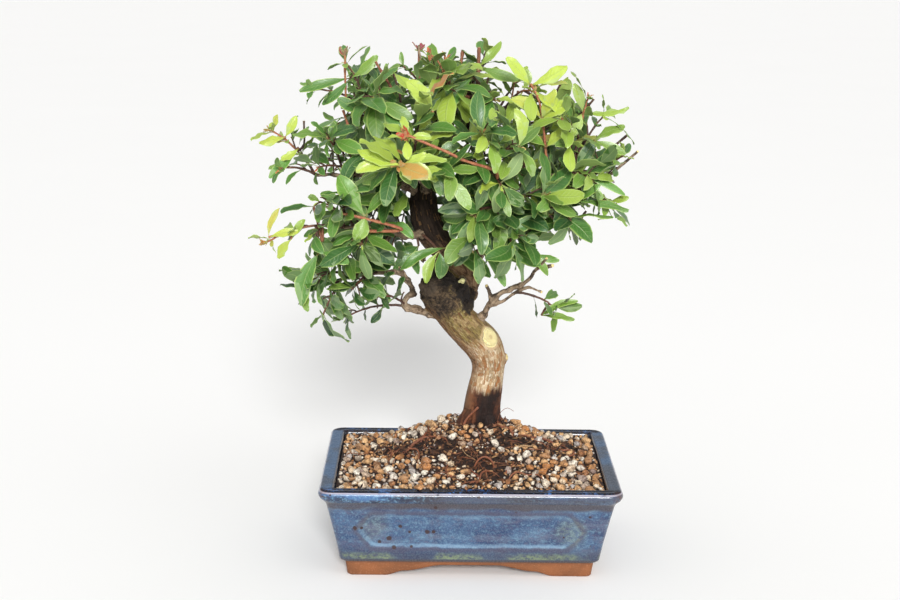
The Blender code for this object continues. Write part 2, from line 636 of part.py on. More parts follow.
def best_sites(sites, tip):
    """The branch points that suit a shoot's tip best: within a twig's reach, and growing towards it."""
    def cost(site):
        point, ahead = site
        way = tip - point
        return abs(way.length - TWIG_REACH) + 0.5 * way.length * (1 - ahead.dot(way.normalized()))

    return [site[0] for site in sorted(sites, key=cost)[:5]]


def fill_targets(taken):
    """Points spread evenly over the back of the canopy, away from the tips already taken."""
    targets = []
    golden = math.pi * (3 - math.sqrt(5))
    for i in range(FILL_POINTS):
        height = 1 - (1 - FILL_LOWEST) * (i + 0.5) / FILL_POINTS
        ring = math.sqrt(max(0, 1 - height * height))
        direction = (ring * math.cos(golden * i), ring * math.sin(golden * i), height)
        point = Vector([c + s * d for c, s, d in zip(CANOPY_CENTRE, CANOPY_SIZE, direction)])
        if point.y > FILL_FRONT and all((point * MM - other).length > FILL_APART * MM for other in taken):
            targets.append(point * MM)
    return targets


def plan_shoots(room):
    """The named shoots, then as many fill shoots at the back as find room."""
    sites = branch_sites()
    shoots = []

    def settle(name, tip, leaf_length, finish):
        for start in best_sites(sites, tip):
            bow = curved(start, tip, TWIG_RISE * (tip - start).length, 61)
            for skipped in range(1, 40):
                shoot = Shoot(name, bow[skipped:], leaf_length, finish)
                if not room.meets(shoot.shell(GAP - 0.05 * MM)):
                    shoots.append(shoot)
                    room.add(*shoot.shell(0), name)
                    return

    for name, (tip, leaf_length, finish) in SHOOTS.items():
        settle(name, Vector(tip) * MM, leaf_length * MM, finish)
    for number, target in enumerate(fill_targets([s.route[-1] for s in shoots])):
        if len(shoots) < MOST_SHOOTS:
            name = f"back_{number:02d}"
            settle(name, target, random.Random(f"{SEED} {name}").uniform(*FILL_LEAF) * MM, "mature")
    return shoots


def leaf_at(shoot, row, face, attempt):
    """One way to set a leaf on a face of the twig at a node."""
    rng = random.Random(f"{SEED} {shoot.name} {row} {face} {attempt}")
    centre = Vector(CANOPY_CENTRE) * MM
    base = (shoot.route[row] + shoot.route[row + 1]) / 2
    ahead, side, up = frames_along(shoot.route)[row]
    angle = 2 * math.pi * (face + 1) / TWIG_SIDES
    outward = side * math.cos(angle) + up * math.sin(angle)
    lean = rng.uniform(0.7, 1.25)
    sway = Vector([rng.uniform(-0.3, 0.3), rng.uniform(-0.3, 0.3), rng.uniform(-0.15, 0.4)])
    direction = outward * math.sin(lean) + ahead * math.cos(lean) + sway
    away = (base - centre).normalized()
    sky = Vector((0, 0, 0.8)) + away * 0.7 + Vector([rng.uniform(-0.3, 0.3) for _ in range(3)])
    length = shoot.leaf_length * rng.uniform(0.8, 1.15) * (1 - 0.02 * attempt)
    width = length * rng.uniform(*LEAF_WIDTH_SHARE)
    return Leaf(base + outward * shoot.radii[row] * 0.7, direction, sky, length, width,
                rng.uniform(0.25, 1.1), rng.uniform(-0.7, 0.7))


def plan_leaves(shoots, room):
    """Sets leaves at every node, on the longest-leaved shoots first, and keeps those that stand clear."""
    for shoot in sorted(shoots, key=lambda s: -s.leaf_length):
        rng = random.Random(f"{SEED} {shoot.name}")
        own = (shoot.name, shoot.name + "_leaf")
        for index, row in enumerate(shoot.node_rows):
            faces = [0, 2] if index % 2 else [1, 3]
            if index == len(shoot.node_rows) - 1:
                faces = [0, 1, 2, 3]
            elif rng.random() < THIRD_LEAF_SHARE:
                faces = faces + [(faces[0] + 1) % 4]
            for face in faces:
                for attempt in range(TRIES):
                    leaf = leaf_at(shoot, row, face, attempt)
                    if room.meets(leaf.shell(0.03), spared=own) or room.meets(leaf.shell(0.16)):
                        continue
                    shoot.leaves.append((row, face, leaf))
                    room.add(*leaf.shell(0.03), shoot.name + "_leaf")
                    break


def grow_leaf(bm, face, leaf):
    """Draws a blade out of a face of the twig, station by station, and closes it at the tip."""
    for t, share in leaf.stations() + ((1, 0),):
        corners = leaf.section(t, share)
        face = bmesh.ops.extrude_discrete_faces(bm, faces=[face])["faces"][0]
        verts = [loop.vert for loop in face.loops]
        turns = [sum((verts[k].co - corners[(k + turn) % 4]).length for k in range(4)) for turn in range(4)]
        turn = turns.index(min(turns))
        for k in range(4):
            verts[k].co = corners[(k + turn) % 4]
    bmesh.ops.remove_doubles(bm, verts=verts, dist=0.01 * MM)


def make_shoot(shoot):
    bm = bmesh.new()
    stretches = tube(bm, shoot.route, shoot.radii, TWIG_SIDES)
    for row, face, leaf in shoot.leaves:
        grow_leaf(bm, stretches[row][face], leaf)
    bmesh.ops.triangulate(bm, faces=bm.faces)
    return add_object("shoot_" + shoot.name, bm, shoot.finish)


def centre_on_origin():
    """Slides everything so that the whole object's box stands over the origin."""
    bpy.context.view_layer.update()
    corners = [v.co for obj in bpy.data.objects for v in obj.data.vertices]
    points = np.array([tuple(c) for c in corners])
    middle = (points.min(0) + points.max(0)) / 2
    for obj in bpy.data.objects:
        obj.data.transform(Matrix.Translation((-middle[0], -middle[1], 0)))


def main():
    clear_scene()
    pot = make_pot()
    make_screen("drain_screen_left", -DRAIN_X)
    make_screen("drain_screen_right", DRAIN_X)
    soil = make_soil()
    room = Room()
    for obj in (pot, soil, make_trunk()):
        room.add_object(obj, obj.name)
    shoots = plan_shoots(room)
    plan_leaves(shoots, room)
    for shoot in shoots:
        make_shoot(shoot)
    centre_on_origin()


main()
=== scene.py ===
"""Looks of a twisted-trunk pomegranate bonsai in its glazed rectangular pot.

Every packed solid but the two drainage screens, which only get their plastic, gets a finer piece that keeps
its form: the slab-built pot with its glaze, the soil with its grit, compost and rootlets, the bark of the
trunk, and the leafy shoots. The file is laid out as a Blender add-on and is run as a script. Shapes are laid
out from the middle of the pot, in metres, and moved from there to the frame's place.
"""
import math
import random

import bmesh
import bpy
import numpy as np
from bpy.props import FloatProperty, FloatVectorProperty, IntProperty, PointerProperty
from mathutils import Matrix, Vector, noise
from mathutils.kdtree import KDTree


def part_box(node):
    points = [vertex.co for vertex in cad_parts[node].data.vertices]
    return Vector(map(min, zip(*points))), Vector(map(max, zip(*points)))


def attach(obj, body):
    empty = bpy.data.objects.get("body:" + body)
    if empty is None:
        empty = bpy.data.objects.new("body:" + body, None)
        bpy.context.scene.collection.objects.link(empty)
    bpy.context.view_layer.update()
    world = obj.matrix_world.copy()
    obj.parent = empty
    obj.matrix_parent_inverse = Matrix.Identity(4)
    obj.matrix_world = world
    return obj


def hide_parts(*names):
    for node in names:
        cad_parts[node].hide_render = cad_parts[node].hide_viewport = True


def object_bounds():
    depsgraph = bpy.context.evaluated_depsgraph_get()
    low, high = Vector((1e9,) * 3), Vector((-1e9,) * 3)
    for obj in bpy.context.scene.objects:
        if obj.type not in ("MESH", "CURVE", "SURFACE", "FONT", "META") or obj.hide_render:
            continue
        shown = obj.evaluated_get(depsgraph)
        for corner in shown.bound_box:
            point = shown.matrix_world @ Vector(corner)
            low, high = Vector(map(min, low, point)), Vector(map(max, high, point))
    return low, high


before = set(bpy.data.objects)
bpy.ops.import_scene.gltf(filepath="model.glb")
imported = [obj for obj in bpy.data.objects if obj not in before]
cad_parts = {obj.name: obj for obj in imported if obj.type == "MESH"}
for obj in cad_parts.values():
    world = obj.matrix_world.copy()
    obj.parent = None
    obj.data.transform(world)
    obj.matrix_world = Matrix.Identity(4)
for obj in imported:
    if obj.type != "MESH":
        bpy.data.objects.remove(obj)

bl_info = {
    "name": "Pomegranate bonsai",
    "version": (1, 0, 0),
    "blender": (4, 5, 0),
    "location": "3D View > Sidebar > Bonsai",
    "description": "Builds the looks of a potted, twisted-trunk pomegranate bonsai round its packed solids",
    "category": "Add Mesh",
}

MM = 0.001
SEED = 11
noise.seed_set(SEED)        # without it, noise vectors differ from run to run
POT_LOW, POT_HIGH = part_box("pot")
MIDDLE = Vector(((POT_LOW.x + POT_HIGH.x) / 2, (POT_LOW.y + POT_HIGH.y) / 2, 0))
POT_SIZE = POT_HIGH - POT_LOW
BOX_LOW, BOX_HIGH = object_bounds()

# ------------------------------------------------------------------------------------------------
# Settings that a user would change


def length(name, description, default, high=1.0):
    return FloatProperty(name=name, description=description, default=default, min=0, max=high, precision=5,
                         subtype="DISTANCE", unit="LENGTH")


def share(name, description, default, high=1.0):
    return FloatProperty(name=name, description=description, default=default, min=0, max=high)


def colour(name, description, default):
    return FloatVectorProperty(name=name, description=description, default=default, size=3, min=0, max=1,
                               subtype="COLOR")


def count(name, description, default):
    return IntProperty(name=name, description=description, default=default, min=0)


class BonsaiPotSettings(bpy.types.PropertyGroup):
    """Sizes and colours of the pot."""
    width: length("Width", "Across the rim, left to right", POT_SIZE.x)
    depth: length("Depth", "Across the rim, front to back", POT_SIZE.y)
    height: length("Height", "From the feet to the top of the rim", POT_SIZE.z)
    panel_recess: length("Panel recess", "How far the long panels are sunk into the walls", 0.0012)
    waver: length("Waver", "How far the hand-pressed walls stray from flat", 0.0003)
    deep_glaze: colour("Deep glaze", "Glaze where it pools", (0.018, 0.042, 0.107))
    blue_glaze: colour("Blue glaze", "Main colour of the glaze", (0.048, 0.097, 0.188))
    pale_glaze: colour("Pale glaze", "Milky flecks in the glaze", (0.158, 0.245, 0.335))
    green_glaze: colour("Green glaze", "Glaze that has run down to the lower edge", (0.24, 0.30, 0.12))
    # Brown where the glaze breaks, also laid as painted shade in the cove under the lip
    broken_glaze_and_cove_shade: colour("Broken glaze", "Brown where the glaze thins over an edge", (0.060, 0.047, 0.049))
    clay: colour("Clay", "Unglazed fired clay", (0.25, 0.087, 0.029))


class BonsaiSoilSettings(bpy.types.PropertyGroup):
    """Sizes, numbers and colours of what fills the pot."""
    largest_grain: length("Largest grain", "Radius of the largest grit grains", 0.0037)
    smallest_grain: length("Smallest grain", "Radius of the smallest grit grains", 0.0012)
    rootlets: count("Rootlets", "Number of loose rootlets on the soil", 90)
    chips: count("Bark chips", "Number of bark chips and fibres in the compost", 1500)
    compost: colour("Compost", "Dark compost under the grit", (0.010, 0.005, 0.005))
    ochre: colour("Ochre grit", "Baked-clay grains", (0.50, 0.205, 0.060))
    cream: colour("Cream grit", "Pumice grains", (0.82, 0.63, 0.42))
    grey: colour("Grey grit", "Speckled granite grains", (0.42, 0.38, 0.36))
    white: colour("White grit", "Quartz grains", (0.93, 0.87, 0.72))
    rootlet: colour("Rootlet", "Fine roots", (0.22, 0.062, 0.026))


class BonsaiTrunkSettings(bpy.types.PropertyGroup):
    """Fineness and colours of the trunk and its branches."""
    grid: length("Grid", "Size of the cells that the wood is remeshed to", 0.00070)
    relief: length("Relief", "Height of the bark's ridges on the trunk", 0.00065)
    tan_bark: colour("Tan bark", "Dry bark low on the trunk", (0.47, 0.33, 0.185))
    fissure: colour("Fissure", "Brown dimples and cracks in the bark", (0.34, 0.14, 0.045))
    grey_bark: colour("Grey bark", "Older bark of the branches", (0.38, 0.275, 0.18))
    rough_bark: colour("Rough bark", "Dark broken bark of the leader", (0.042, 0.026, 0.017))
    wet_bark: colour("Wet bark", "Bark wetted by the soil", (0.011, 0.006, 0.005))
    moss: colour("Moss", "Green film on the bend", (0.25, 0.19, 0.050))
    rot: colour("Rot", "Dead wood in the hollow", (0.016, 0.012, 0.010))
    cut_wood: colour("Cut wood", "Fresh wood in a pruning cut", (0.98, 0.80, 0.30))
    twig: colour("Twig", "Bark of the young twigs", (0.10, 0.045, 0.030))


class BonsaiLeafSettings(bpy.types.PropertyGroup):
    """Thickness and colours of the leaves."""
    thickness: length("Thickness", "Thickness of a blade", 0.00022)
    dark: colour("Dark leaf", "Shaded old leaves", (0.011, 0.058, 0.017))
    green: colour("Green leaf", "Grown leaves", (0.105, 0.275, 0.036))
    fresh: colour("Fresh leaf", "Young yellow-green leaves", (0.44, 0.56, 0.070))
    bronze: colour("Bronze leaf", "Newly opened leaves", (0.50, 0.17, 0.055))
    red: colour("Red bud", "Growing tips", (0.58, 0.055, 0.035))
    margin: colour("Margin", "Thin pale edge of a blade", (0.38, 0.50, 0.13))


class BonsaiStageSettings(bpy.types.PropertyGroup):
    """Light and camera."""
    lens: FloatProperty(name="Lens", description="Focal length of the camera in millimetres", default=64.0,
                        min=1, unit="CAMERA")
    sky: share("Sky", "Brightness of the surroundings overhead", 0.60, 10)
    sun: share("Soft key", "Strength of the broad key light", 3.0, 20)
    softbox: FloatProperty(name="Softbox", description="Power of the overhead softbox", default=3.5, min=0,
                           unit="POWER")
    floor: colour("Floor", "Colour of the floor", (0.95, 0.946, 0.934))


# ------------------------------------------------------------------------------------------------
# Finishes, built from nodes


def node(tree, kind, inputs=(), **settings):
    """Adds a shader node, sets its settings, and fills or links its inputs, given by name or number."""
    made = tree.nodes.new("ShaderNode" + kind)
    for key, value in settings.items():
        setattr(made, key, value)
    for key, value in dict(inputs).items():
        if isinstance(value, bpy.types.NodeSocket):
            tree.links.new(value, made.inputs[key])
        else:
            made.inputs[key].default_value = value
    return made


class Finish:
    """A material under construction, with short names for the patterns that its surface is made of."""

    def __init__(self, name, roughness=0.5, **sockets):
        self.material = bpy.data.materials.new(name)
        self.material.use_nodes = True
        self.tree = self.material.node_tree
        self.shader = self.tree.nodes["Principled BSDF"]
        self.shader.inputs["Roughness"].default_value = roughness
        for key, value in sockets.items():
            self.shader.inputs[key.replace("_", " ")].default_value = value
        self.place = node(self.tree, "TexCoord").outputs["Object"]

    def attribute(self, name):
        """The three numbers of a vertex attribute."""
        source = node(self.tree, "Attribute", attribute_name=name).outputs["Vector"]
        return source, node(self.tree, "SeparateXYZ", {0: source}).outputs

    def axes(self):
        return node(self.tree, "SeparateXYZ", {0: self.place}).outputs

    def scaled(self, vector, scale):
        return node(self.tree, "Mapping", {"Vector": vector, "Scale": scale}).outputs[0]

    def noise(self, scale, detail=3, roughness=0.55, vector=None, distortion=0):
        return node(self.tree, "TexNoise", {"Vector": vector or self.place, "Scale": scale, "Detail": detail,
                                            "Roughness": roughness, "Distortion": distortion}).outputs["Fac"]

    def cells(self, scale):
        """Distance to the nearest of points strewn through the piece."""
        return node(self.tree, "TexVoronoi", {"Vector": self.place, "Scale": scale}).outputs["Distance"]

    def ramp(self, value, low, high, start=0.0, end=1.0):
        """Turns a value that rises from low to high into one that goes smoothly from start to end."""
        return node(self.tree, "MapRange", {0: value, 1: low, 2: high, 3: start, 4: end},
                    interpolation_type="SMOOTHSTEP").outputs[0]

    def maths(self, operation, first, second=0.0):
        return node(self.tree, "Math", {0: first, 1: second}, operation=operation).outputs[0]

    def times(self, *values):
        product = values[0]
        for value in values[1:]:
            product = self.maths("MULTIPLY", product, value)
        return product

    def sway(self, pattern, reach):
        """A pattern about one half turned into a shift to either side of nought."""
        return self.times(self.maths("SUBTRACT", pattern, 0.5), reach)

    def mix(self, factor, first, second):
        """Mixes two colours, each a socket or three numbers."""
        first, second = (c if isinstance(c, bpy.types.NodeSocket) else (*c, 1) for c in (first, second))
        return node(self.tree, "Mix", {0: factor, 6: first, 7: second}, data_type="RGBA").outputs[2]

    def lay(self, base, colour, *shares):
        """Lays a colour over another as far as the product of the shares says."""
        return self.mix(self.times(*shares), base, colour)

    def near(self, point, radius, soft, waver=None, depth=1.0):
        """One within a radius of a point, nought beyond it: in millimetres from the pot's middle."""
        at, place = Vector(point) * MM + MIDDLE, self.place
        if depth != 1:
            at.y, place = at.y * depth, self.scaled(place, (1, depth, 1))
        far = node(self.tree, "VectorMath", {0: place, 1: at}, operation="DISTANCE").outputs["Value"]
        if waver:
            far = self.maths("ADD", far, waver)
        return self.ramp(far, (radius - soft / 2) * MM, (radius + soft / 2) * MM, 1, 0)

    def edge_inset(self, value, middle, size):
        """How far a coordinate is beyond the edge of a size centred on a middle; less than nought inside."""
        return self.maths("SUBTRACT", self.maths("ABSOLUTE", self.maths("SUBTRACT", value, middle)), size / 2)

    def bump(self, height, strength, distance):
        return node(self.tree, "Bump",
                    {"Height": height, "Strength": strength, "Distance": distance * MM}).outputs[0]

    def wear(self, colour, roughness=None, normal=None):
        """Links what varies over the surface to the shader, and gives the material."""
        for key, value in (("Base Color", colour), ("Roughness", roughness), ("Normal", normal)):
            if isinstance(value, bpy.types.NodeSocket):
                self.tree.links.new(value, self.shader.inputs[key])
        return self.material


# ------------------------------------------------------------------------------------------------
# Mesh helpers


def gather(bm, part):
    """Adds a small shape to a larger one."""
    mesh = bpy.data.meshes.new("part")
    part.to_mesh(mesh)
    part.free()
    bm.from_mesh(mesh)
    bpy.data.meshes.remove(mesh)


def new_shape(*layers):
    """An empty bmesh whose vertices hold the named vector attributes."""
    bm = bmesh.new()
    for name in layers:
        bm.verts.layers.float_vector.new(name)
    bm.verts.layers.int.new("place")
    return bm


def all_smooth(bm, finish=0):
    """Shades the whole shape smooth, and gives it one of the piece's materials by number."""
    for face in bm.faces:
        face.smooth, face.material_index = True, finish
    return bm


def smooth_faces(bm, sharp_degrees):
    """Shades the shape smooth, apart from edges sharper than an angle."""
    for face in bm.faces:
        face.smooth = True
    for edge in bm.edges:
        edge.smooth = edge.calc_face_angle(0) < math.radians(sharp_degrees)


def finish_piece(name, bm, materials, replaced=(), turn_faces=True):
    """Makes the shape a piece in the frame's place that rides on the body and stands for CAD nodes."""
    if turn_faces:
        bmesh.ops.recalc_face_normals(bm, faces=bm.faces)
    bmesh.ops.translate(bm, vec=MIDDLE, verts=bm.verts)
    for vert in bm.verts:
        vert.co = [min(max(value, low), high) for value, low, high in zip(vert.co, BOX_LOW, BOX_HIGH)]
    layer = bm.verts.layers.int.get("place")
    if layer:
        bm.verts.layers.int.remove(layer)
    mesh = bpy.data.meshes.new(name)
    bm.to_mesh(mesh)
    bm.free()
    piece = bpy.data.objects.new(name, mesh)
    bpy.context.scene.collection.objects.link(piece)
    for material in materials:
        mesh.materials.append(material)
    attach(piece, "root")
    if replaced:
        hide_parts(*replaced)
    return piece


def helper_object(name, bm):
    """A shape as an object for a while, to apply a modifier to or cut with."""
    bmesh.ops.recalc_face_normals(bm, faces=bm.faces)
    mesh = bpy.data.meshes.new(name)
    bm.to_mesh(mesh)
    bm.free()
    helper = bpy.data.objects.new(name, mesh)
    bpy.context.scene.collection.objects.link(helper)
    return helper


def with_modifier(bm, kind, **settings):
    """Gives a copy of the shape with one modifier applied."""
    helper = helper_object("helper", bm)
    modifier = helper.modifiers.new(kind, kind)
    for key, value in settings.items():
        setattr(modifier, key, value)
    mesh = bpy.data.meshes.new_from_object(helper.evaluated_get(bpy.context.evaluated_depsgraph_get()))
    bpy.data.objects.remove(helper)
    made = bmesh.new()
    made.from_mesh(mesh)
    bpy.data.meshes.remove(mesh)
    return made


def cut_out(bm, cutters):
    """Cuts closed shapes out of a closed shape, one after another."""
    for cutter in cutters:
        tool = helper_object("cutter", cutter)
        bm = with_modifier(bm, "BOOLEAN", operation="DIFFERENCE", solver="EXACT", object=tool)
        bpy.data.objects.remove(tool)
    return bm


def finer(points, spacing):
    """More points on a smooth curve through the given ones, whose fourth number is carried along."""
    points = [Vector(point) for point in points]
    ends = [points[0] * 2 - points[1]] + points + [points[-1] * 2 - points[-2]]
    route = []
    for a, b, c, d in zip(ends, ends[1:], ends[2:], ends[3:]):
        steps = max(1, round((c - b).to_3d().length / spacing))
        for step in range(steps):
            t = step / steps
            route.append((b * 2 + (c - a) * t + (a * 2 - b * 5 + c * 4 - d) * t * t
                          + (b * 3 - a - c * 3 + d) * t ** 3) / 2)
    return route + [points[-1]]


def frames_along(points):
    """A direction, a side and an up vector at each point, carried along without twisting."""
    last = len(points) - 1
    frames, side = [], None
    for i in range(last + 1):
        ahead = (points[min(i + 1, last)] - points[max(i - 1, 0)]).normalized()
        if side is None:
            helper = Vector((0, 1, 0)) if abs(ahead.y) < 0.9 else Vector((1, 0, 0))
            side = helper.cross(ahead).normalized()
        side = (side - ahead * side.dot(ahead)).normalized()
        frames.append((ahead, side, ahead.cross(side)))
    return frames


def sweep(route, sides, layers=(), outline=None, paint=None):
    """A closed tube: a disc drawn out along a route whose points hold their radius in the fourth place.

    outline gives each ring's reach from the angle and the length travelled, and paint gives the vector
    attribute of a vertex from the share of the way."""
    bm = new_shape(*layers)
    place = bm.verts.layers.int["place"]
    ring = bmesh.ops.create_circle(bm, cap_ends=True, segments=sides, radius=1)["verts"]
    for number, vert in enumerate(ring):
        vert[place] = number
    face = ring[0].link_faces[0]
    points = [point.to_3d() for point in route]
    travelled = 0
    for step, (ahead, side, up) in enumerate(frames_along(points)):
        if step:
            face = bmesh.ops.extrude_discrete_faces(bm, faces=[face])["faces"][0]
            travelled += (points[step] - points[step - 1]).length
        for vert in face.verts:
            angle = 2 * math.pi * (vert[place] + 0.5) / sides
            reach = route[step].w * (outline(angle, travelled) if outline else 1)
            vert.co = points[step] + (side * math.cos(angle) + up * math.sin(angle)) * reach
            if paint:
                for name, value in paint(step / (len(points) - 1)).items():
                    vert[bm.verts.layers.float_vector[name]] = value
    bmesh.ops.holes_fill(bm, edges=[edge for edge in bm.edges if edge.is_boundary], sides=0)
    bmesh.ops.recalc_face_normals(bm, faces=bm.faces)
    return bm


def smoothstep(value, low, high):
    """Nought below low, one above high and a smooth rise between."""
    t = min(1, max(0, (value - low) / (high - low)))
    return t * t * (3 - 2 * t)


def three(draw, *limits):
    """A vector of three draws."""
    return Vector([draw(*limits) for _ in range(3)])


def tree_of(points):
    """A tree that finds the nearest of some points."""
    tree = KDTree(len(points))
    for number, point in enumerate(points):
        tree.insert(point, number)
    tree.balance()
    return tree


# ------------------------------------------------------------------------------------------------
# Pot

RIM_WIDTH, LIP_HEIGHT, BODY_CORNER = 9.5, 8.0, 5.0
FOOT_BAND_TOP, BASE_INSET, WALL = 7.0, 12.5, 6.0
FOOT_INSET_X, FOOT_INSET_Y, FLOOR_BOTTOM, FLOOR_TOP = 17.5, 14.5, 8.0, 14.0
ARCH_TOP_SHARE, ARCH_FOOT_SHARE = 0.17, 0.56
PANEL_LENGTH_SHARE, PANEL_LOW, PANEL_HIGH, PANEL_SLANT = 0.74, 20.0, 43.0, 9.0
DRAIN_RADIUS, DRAIN_X = 7.0, 42.0
CORNER_STEPS, LONG_STEPS, SHORT_STEPS = 6, 104, 76
SECTION_SPACING = 1.1


def soil_wall(pot_height, z):
    """How far the pot's inner wall stands in from the rim's outer edge at a height, in millimetres."""
    way = (pot_height - 1.2 - z) / (pot_height - FLOOR_TOP)
    return RIM_WIDTH + way * (BASE_INSET + WALL - RIM_WIDTH)


def ring_places():
    """For each vertex of a ring round the pot: its corner, its turn there and its way to the next corner."""
    places = []
    for corner in range(4):
        places += [(corner, step / CORNER_STEPS, 0.0) for step in range(CORNER_STEPS + 1)]
        side = LONG_STEPS if corner % 2 == 0 else SHORT_STEPS
        places += [(corner, 1.0, step / side) for step in range(1, side)]
    return places


def on_rounded_rectangle(place, half_x, half_y, radius):
    """A point on the rectangle, and the direction that faces out there."""
    def corner_point(corner, turn):
        sign_x, sign_y = ((1, 1), (-1, 1), (-1, -1), (1, -1))[corner % 4]
        angle = math.pi / 2 * (corner % 4 + turn)
        return Vector((sign_x * (half_x - radius) + radius * math.cos(angle),
                       sign_y * (half_y - radius) + radius * math.sin(angle), 0))

    corner, turn, way = place
    angle = math.pi / 2 * (corner + turn)
    out = Vector((math.cos(angle), math.sin(angle), 0))
    return corner_point(corner, turn).lerp(corner_point(corner + 1, 0), way), out


def arch_height(place, point, half_x, half_y):
    """Height of the foot band's lower edge, which is lifted in the middle of each side."""
    corner, turn, way = place
    if not way:
        return 0
    along, reach = (point.x, half_x) if corner % 2 == 0 else (point.y, half_y)
    foot, top = reach * ARCH_FOOT_SHARE, reach * ARCH_TOP_SHARE
    low = foot * 0.78
    if abs(along) > low:
        return 0.42 * FOOT_BAND_TOP * smoothstep(foot - abs(along), 0, foot - low)
    return (0.42 + 0.58 * smoothstep(low - abs(along), 0, low - top)) * FOOT_BAND_TOP


def beyond_panel(place, point, z, half_x, half_y):
    """How far outside the wall's panel a point is, in millimetres. The panel is a long, softened hexagon."""
    corner, turn, way = place
    if not way:
        return 9
    along, reach = (point.x, half_x) if corner % 2 == 0 else (point.y, half_y)
    end, middle, half = reach * PANEL_LENGTH_SHARE, (PANEL_LOW + PANEL_HIGH) / 2, (PANEL_HIGH - PANEL_LOW) / 2
    beside, above = abs(along) - end, abs(z - middle)
    slant = (beside * half + above * PANEL_SLANT) / math.hypot(half, PANEL_SLANT)
    blend = max(0, 2.5 - abs(above - half - slant)) / 2.5
    return max(above - half, slant) + blend * blend * 0.6


def pot_sections(height):
    """Rings from the foot's inside over the rim: inset x and y, corner radius, height and kind."""
    foot = FOOT_INSET_X, FOOT_INSET_Y
    inner = FOOT_INSET_X + WALL, FOOT_INSET_Y + WALL
    clay = [(*inner, 3, FLOOR_BOTTOM, 0), (*inner, 3, 0.9, -1), (inner[0] - 0.7, inner[1] - 0.7, 3, 0, -1),
            (foot[0] + 0.8, foot[1] + 0.8, 3, 0, -1), (foot[0], foot[1], 3, 0.9, -1),
            (foot[0] - 0.7, foot[1] - 0.4, 3.5, 5.2, -1), (foot[0] - 1.5, foot[1] - 0.8, 4, 9.3, 0),
            (BASE_INSET + 1.4, BASE_INSET + 0.9, 5, 9.7, 0)]
    lip = height - LIP_HEIGHT
    wall = [(BASE_INSET + 0.3, 10.3, 5), (BASE_INSET - 0.1, 11.2, 5), (11.9, 14, 5), (10.1, 24, 5),
            (7.4, 37, 5), (5.0, lip - 3.6, 5.4), (3.9, lip - 1.0, 6.2), (2.4, lip + 0.7, 7),
            (1.0, lip + 2.2, 7.5), (0.3, lip + 3.8, 8), (0.05, lip + 5.2, 8), (0.35, height - 1.7, 8),
            (1.1, height - 0.55, 7.5), (2.6, height, 6.6), (5.4, height - 0.25, 4.6),
            (RIM_WIDTH - 1.1, height - 0.1, 3.2), (RIM_WIDTH - 0.2, height - 0.8, 3),
            (RIM_WIDTH + 0.1, height - 2.2, 3)]
    glazed = [(max(0.03, p.x), max(0.03, p.x), p.z, p.y, 1)
              for p in finer([Vector((inset, z, radius, 0)) for inset, z, radius in wall], SECTION_SPACING)]
    inside = [(soil_wall(height, z), soil_wall(height, z), 3, z, 2) for z in (52, 38, 24, FLOOR_TOP)]
    return clay + glazed + inside


def make_pot_body(settings):
    """Draws one face up through the pot's rings, then bores the drainage holes."""
    width, depth, height = (value / MM for value in (settings.width, settings.depth, settings.height))
    half_x, half_y = width / 2, depth / 2
    places = ring_places()
    bm = new_shape("panel")
    bm.verts.layers.int.new("level")
    panel = bm.verts.layers.float_vector["panel"]
    place, level = bm.verts.layers.int["place"], bm.verts.layers.int["level"]
    ring = bmesh.ops.create_circle(bm, cap_ends=True, segments=len(places), radius=1)["verts"]
    for number, vert in enumerate(ring):
        vert[place] = number
    face = ring[0].link_faces[0]
    sections = pot_sections(height)
    for step, (inset_x, inset_y, radius, z, kind) in enumerate(sections):
        if step:
            face = bmesh.ops.extrude_discrete_faces(bm, faces=[face])["faces"][0]
        for vert in face.verts:
            spot = places[vert[place]]
            point, out = on_rounded_rectangle(spot, half_x - inset_x, half_y - inset_y, radius)
            lift = z
            if kind == -1:
                arch = arch_height(spot, point, half_x, half_y)
                lift = arch + z * (1 - arch / (FOOT_BAND_TOP + 2.6))
            outside = beyond_panel(spot, point, z, half_x, half_y)
            vert[panel] = (min(outside, 9), 0, 0)
            if kind == 1 and z < height - LIP_HEIGHT:
                point -= out * (1 - smoothstep(outside, -1.6, 0.5)) * settings.panel_recess / MM
            if kind in (0, 1) and inset_x > 0.5:
                waver = noise.noise((point + Vector((0, 0, z))) * 0.035)
                point -= out * (0.5 + 0.5 * waver) * settings.waver / MM
            vert.co = Vector((point.x, point.y, lift)) * MM
            vert[level] = step
    bmesh.ops.holes_fill(bm, edges=[edge for edge in bm.edges if edge.is_boundary], sides=0)
    first = next(i for i, section in enumerate(sections) if section[4] == 1)
    last = max(i for i, section in enumerate(sections) if section[4] == 1)
    bm.normal_update()
    for each in bm.faces:
        levels = [vert[level] for vert in each.verts]
        each.material_index = 0 if min(levels) >= first - 1 and max(levels) <= last + 1 else 1
        middle = each.calc_center_median()
        if each.material_index == 0 and middle.z > (height - 1.9) * MM and abs(each.normal.z) > 0.8:
            each.material_index = 2
    bm.verts.layers.int.remove(level)
    drains = []
    for x in (-DRAIN_X, DRAIN_X):
        drain = bmesh.new()
        bmesh.ops.create_cone(drain, cap_ends=True, segments=48, radius1=DRAIN_RADIUS * MM,
                              radius2=DRAIN_RADIUS * MM, depth=20 * MM,
                              matrix=Matrix.Translation((x * MM, 0, 11 * MM)))
        drains.append(drain)
    bm = cut_out(bm, drains)
    smooth_faces(bm, 55)
    return bm


